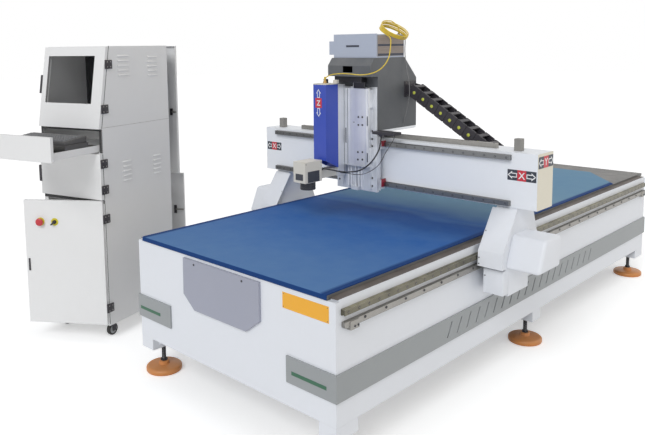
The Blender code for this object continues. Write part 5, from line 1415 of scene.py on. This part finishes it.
gap_rubber = moulded("gap_rubber", rgb(58, 58, 60), 0.70, wear=0.0)
shell = Piece("cabinet_louvres", CABINET)
PRESSED = [(0.0, 0.0090), (0.0020, 0.0085), (0.0055, 0.0010), (0.0055, -0.0010), (0.0, -0.0012)]
for near, far, top in ((0.175, 0.271, 1.713), (0.442, 0.532, 1.702), (0.188, 0.259, 1.072), (0.465, 0.537, 1.070)):
    for side, u in ((1, 0.0), (-1, -0.5)):
        wedge = pushed("y", [(u + side * d, h) for d, h in PRESSED], near, far, 0.0004, 1)
        grow(shell, rows_of, cabinet_paint, shape=wedge, Count=5, Step=(0, 0, -0.0285), First=(0, 0, top - 0.009))
shell.keep("bed", slot="cabinet_shell")
hinges = Piece("cabinet_hinges", CABINET)
for z in (0.205, 0.750, 0.925, 1.080, 1.400, 1.660):
    v = lean(z + 0.018)
    hinges.put(slab((-0.0002, v - 0.0006, z - 0.0260), (0.0098, v + 0.0526, z + 0.0260), 0.0020), black_plastic)
    grow(hinges, rows_of, rack_steel, shape=socket_screw(0.0034, 0.0010, "x", 8), Count=2, Step=(0, 0.026, 0), Rows=2,
         Row_Step=(0, 0, 0.030), First=(0.0098, v + 0.013, z - 0.015))
for z in (0.200, 0.800, 1.000, 1.660):
    hinges.put(slab((-0.5098, 0.6037, z - 0.0260), (-0.4998, 0.6549, z + 0.0260), 0.0020), black_plastic)
hinges.keep("bed", slot="cabinet_shell")
seal = Piece("cabinet_seals", CABINET)
for low, high in ((0.105, 0.862), (0.866, 1.138), (1.142, 1.283), (1.285, 1.768)):
    edge = [(lean(low) + 0.0204, low), (lean(low) + 0.0236, low), (lean(high) + 0.0236, high),
            (lean(high) + 0.0204, high)]
    seal.put(pushed("x", edge, -0.0010, 0.0007), gap_rubber)
seal.put(slab((-0.0002, 0.030, 1.2895), (0.0004, 0.636, 1.2912)), cabinet_inside)
for low, high in (((-0.4988, 1.1425), (-0.4802, 1.2835)), ((-0.0198, 1.1425), (-0.0012, 1.2835)),
                  ((-0.4802, 1.2722), (-0.0198, 1.2835))):
    seal.put(slab((low[0], 0.0196, low[1]), (high[0], 0.0203, high[1])), gap_rubber)
seal.put(slab((-0.4988, 0.0201, 0.8412), (-0.0012, 0.0203, 0.8640)), gap_rubber)
seal.keep("bed", slot="cabinet_shell")
print("louvres, hinges and seals")

# %% [markdown]
# The upper window is one sheet of smoked glass: the pale left wall shows through, and a near-black board across the
# room is painted shade for its unlit back. The drawer has a rubber liner, and a keyboard on a low stand across its side
# walls. The keys are a grid grown from one cap.

# %% Window, latches and keyboard
window_glass, tree, shader = start("window_glass")
smear = add(tree, "ShaderNodeTexNoise", {"Vector": add(tree, "ShaderNodeTexCoord").outputs["Object"], "Scale": 6.0,
                                         "Detail": 5.0})
haze = add(tree, "ShaderNodeMapRange", {"Value": smear.outputs[0], "To Min": 0.04, "To Max": 0.16})
tree.links.new(haze.outputs[0], shader.inputs["Roughness"])
tints = add(tree, "ShaderNodeMix", {0: smear.outputs[0], 6: rgb(70, 72, 76), 7: rgb(88, 88, 90)}, data_type="RGBA")
tree.links.new(tints.outputs[2], shader.inputs["Base Color"])
shader.inputs["Alpha"].default_value = 0.05
shader.inputs["Specular IOR Level"].default_value = 0.20
for slot in NODES["monitor_window"].material_slots:
    slot.material = window_glass
# Painted shade: a near-black board stands for the unlit back of the room behind the window.
board_dark = painted("board_dark", rgb(30, 30, 33), 0.80, 0.16, dusty=0.02)
board_dark.node_tree.nodes["Principled BSDF"].inputs["Specular IOR Level"].default_value = 0.05
back = Piece("cabinet_back_board", CABINET)
back.put(slab((-0.4968, 0.4100, 1.3000), (-0.0032, 0.4140, 1.7500), 0.0006, 1), board_dark)
back.keep("bed", slot="cabinet_shell")
pull = Piece("monitor_pull", CABINET)
pull.put(pushed("x", [(lean(1.484) - 0.002, 1.484), (lean(1.484) + 0.014, 1.484), (lean(1.595) + 0.014, 1.595),
                      (lean(1.595) - 0.002, 1.595)], -0.5160, -0.4980, 0.0015), black_plastic)
pull.keep("monitor_lid", slot="monitor_door")
pull = Piece("middle_pull", CABINET)
pull.put(slab((-0.5140, -0.0030, 0.942), (-0.4930, 0.0150, 1.043), 0.0015), black_plastic)
pull.keep("middle_door", slot="middle_door")
LOWER = CABINET @ Matrix.Rotation(math.radians(20.0), 4, "Z")
pull = Piece("lower_pull", LOWER)
pull.put(slab((-0.4850, -0.0045, 0.427), (-0.4740, 0.0002, 0.502), 0.0015), black_plastic)
pull.keep("lower_door", slot="lower_door")
key_grey = moulded("key_grey", rgb(78, 77, 78), 0.55)
key_cap = moulded("key_cap", rgb(112, 113, 116), 0.50)
liner = moulded("drawer_liner", rgb(92, 92, 92), 0.80, 0.3, dusty=0.25, wear=0.0)
keys = Piece("keyboard", CABINET)
keys.put(slab((-0.470, -0.340, 1.1541), (-0.030, 0.196, 1.1563), 0.0004, 1), liner)
for u in (-0.4738, -0.0292):
    keys.put(slab((u, -0.238, 1.1901), (u + 0.0030, -0.062, 1.2160)), key_grey)
keys.put(slab((-0.4738, -0.240, 1.2158), (-0.0262, -0.060, 1.2182), 0.0006, 1), key_grey)
keys.put(pushed("x", [(-0.235, 1.2181), (-0.067, 1.2181), (-0.067, 1.2560), (-0.235, 1.2390)], -0.4680, -0.0320, 0.0020),
         key_grey)
cap = turned([(0.0118, 0.0), (0.0104, 0.0055), (0.0, 0.0062)], 4)
cap.transform(Matrix.Rotation(math.atan2(0.017, 0.168), 4, "X") @ Matrix.Rotation(math.pi / 4, 4, "Z"))
grow(keys, rows_of, key_cap, shape=cap, Count=20, Step=(0.0206, 0, 0), Rows=6, Row_Step=(0, 0.0225, 0.00228),
     First=(-0.4457, -0.2170, 1.2408))
keys.keep("keyboard_drawer", slot="keyboard_drawer")
print("window, pulls and a keyboard of 120 keys")

# %% [markdown]
# The lower door carries a red stop button that pushes in and a black selector on a yellow disc. Both are turned
# about the axis they move along, and each rides on its own body. What doesn't move stays on the door.

# %% Stop button and selector
button_red = moulded("button_red", rgb(196, 52, 62), 0.34, 0.10, wear=0.0)
disc_yellow = moulded("disc_yellow", rgb(214, 200, 46), 0.45, 0.10, wear=0.0)
button = Piece("stop_mushroom", LOWER)
button.put(turned([(0.0, -0.0400), (0.0085, -0.0400), (0.0085, 0.0), (0.0170, 0.0), (0.0222, 0.0016), (0.0235, 0.0050),
                   (0.0222, 0.0095), (0.0176, 0.0126), (0.0090, 0.0138), (0.0, 0.0140)], 40), button_red,
           at((-0.395, -0.012, 0.730), "-y"))
button.keep("e_stop_button", ("e_stop_button",), "e_stop_button")
knob = Piece("selector_knob", LOWER)
knob.put(turned([(0.0, -0.0290), (0.0085, -0.0290), (0.0085, 0.0018), (0.0118, 0.0020), (0.0118, 0.0095), (0.0108, 0.0120),
                 (0.0, 0.0120)], 32), black_plastic, at((-0.305, 0.0, 0.730), "-y"))
turn = Matrix.Translation((-0.305, 0, 0.730)) @ Matrix.Rotation(math.radians(48.0), 4, "Y")
knob.put(slab((-0.0040, -0.0220, -0.0240), (0.0040, -0.0030, 0.0100), 0.0012), black_plastic, turn)
knob.keep("selector_switch", ("selector_switch",), "selector_switch")
rings = Piece("switch_rings", LOWER)
rings.put(turned([(0.0095, 0.0), (0.0250, 0.0), (0.0250, 0.0024), (0.0240, 0.0030), (0.0095, 0.0030), (0.0095, 0.0)], 36),
          disc_yellow, at((-0.395, 0.0, 0.730), "-y"))
rings.put(turned([(0.0095, 0.0), (0.0230, 0.0), (0.0230, 0.0012), (0.0222, 0.0016), (0.0095, 0.0016), (0.0095, 0.0)], 36),
          disc_yellow, at((-0.305, 0.0, 0.730), "-y"))
rings.keep("lower_door", slot="lower_door")
print("stop button and selector")

# %% Casters and rear latches
hub_grey = moulded("hub_grey", rgb(184, 186, 188), 0.50)
INTO = CABINET.inverted()
for name in ("front_left", "front_right", "rear_left", "rear_right"):
    middle = INTO @ ((Vector(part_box("caster_wheel_" + name)[0]) + Vector(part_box("caster_wheel_" + name)[1])) / 2)
    wheel = Piece("caster_tyre_" + name, CABINET)
    lie = at(middle, "x")
    wheel.put(turned([(0.0270, -0.0120), (0.0345, -0.0130), (0.0366, -0.0100), (0.0375, -0.0040), (0.0375, 0.0040),
                      (0.0366, 0.0100), (0.0345, 0.0130), (0.0270, 0.0120), (0.0270, -0.0120)], 48), black_rubber, lie)
    wheel.put(turned([(0.0058, -0.0125), (0.0110, -0.0125), (0.0120, -0.0090), (0.0230, -0.0080), (0.0272, -0.0110),
                      (0.0272, 0.0110), (0.0230, 0.0080), (0.0120, 0.0090), (0.0110, 0.0125), (0.0058, 0.0125),
                      (0.0058, -0.0125)], 40), hub_grey, lie)
    wheel.keep("caster_wheel_" + name, ("caster_wheel_" + name,), "caster_wheel_" + name)
for word, angle, z0, z1, near in (("upper", 11.0, 1.300, 1.345, -0.056), ("lower", 19.0, 0.612, 0.668, -0.078)):
    swing = Matrix.Translation((-0.5, 0.6543, 0)) @ Matrix.Rotation(math.radians(angle), 4, "Z")
    latch = Piece("rear_latch_" + word, CABINET @ swing @ Matrix.Translation((0.5, -0.6543, 0)))
    latch.put(slab((near, 0.6410, z0), (near + 0.018, 0.6515, z1), 0.0015), black_plastic)
    latch.put(slab((near + 0.012, 0.6400, (z0 + z1) / 2 - 0.005), (-0.008, 0.6432, (z0 + z1) / 2 + 0.005), 0.0010), rack_steel)
    latch.put(slab((near - 0.004, 0.6542, z0 - 0.030), (near + 0.020, 0.6590, z1 + 0.030), 0.0020), black_plastic)
    latch.keep("rear_door_" + word, slot="rear_door_" + word)
print("four wheels and two rear latches")

# %% Measure and finish
low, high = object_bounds()
print("visual size", [round(b - a, 4) for a, b in zip(low, high)])
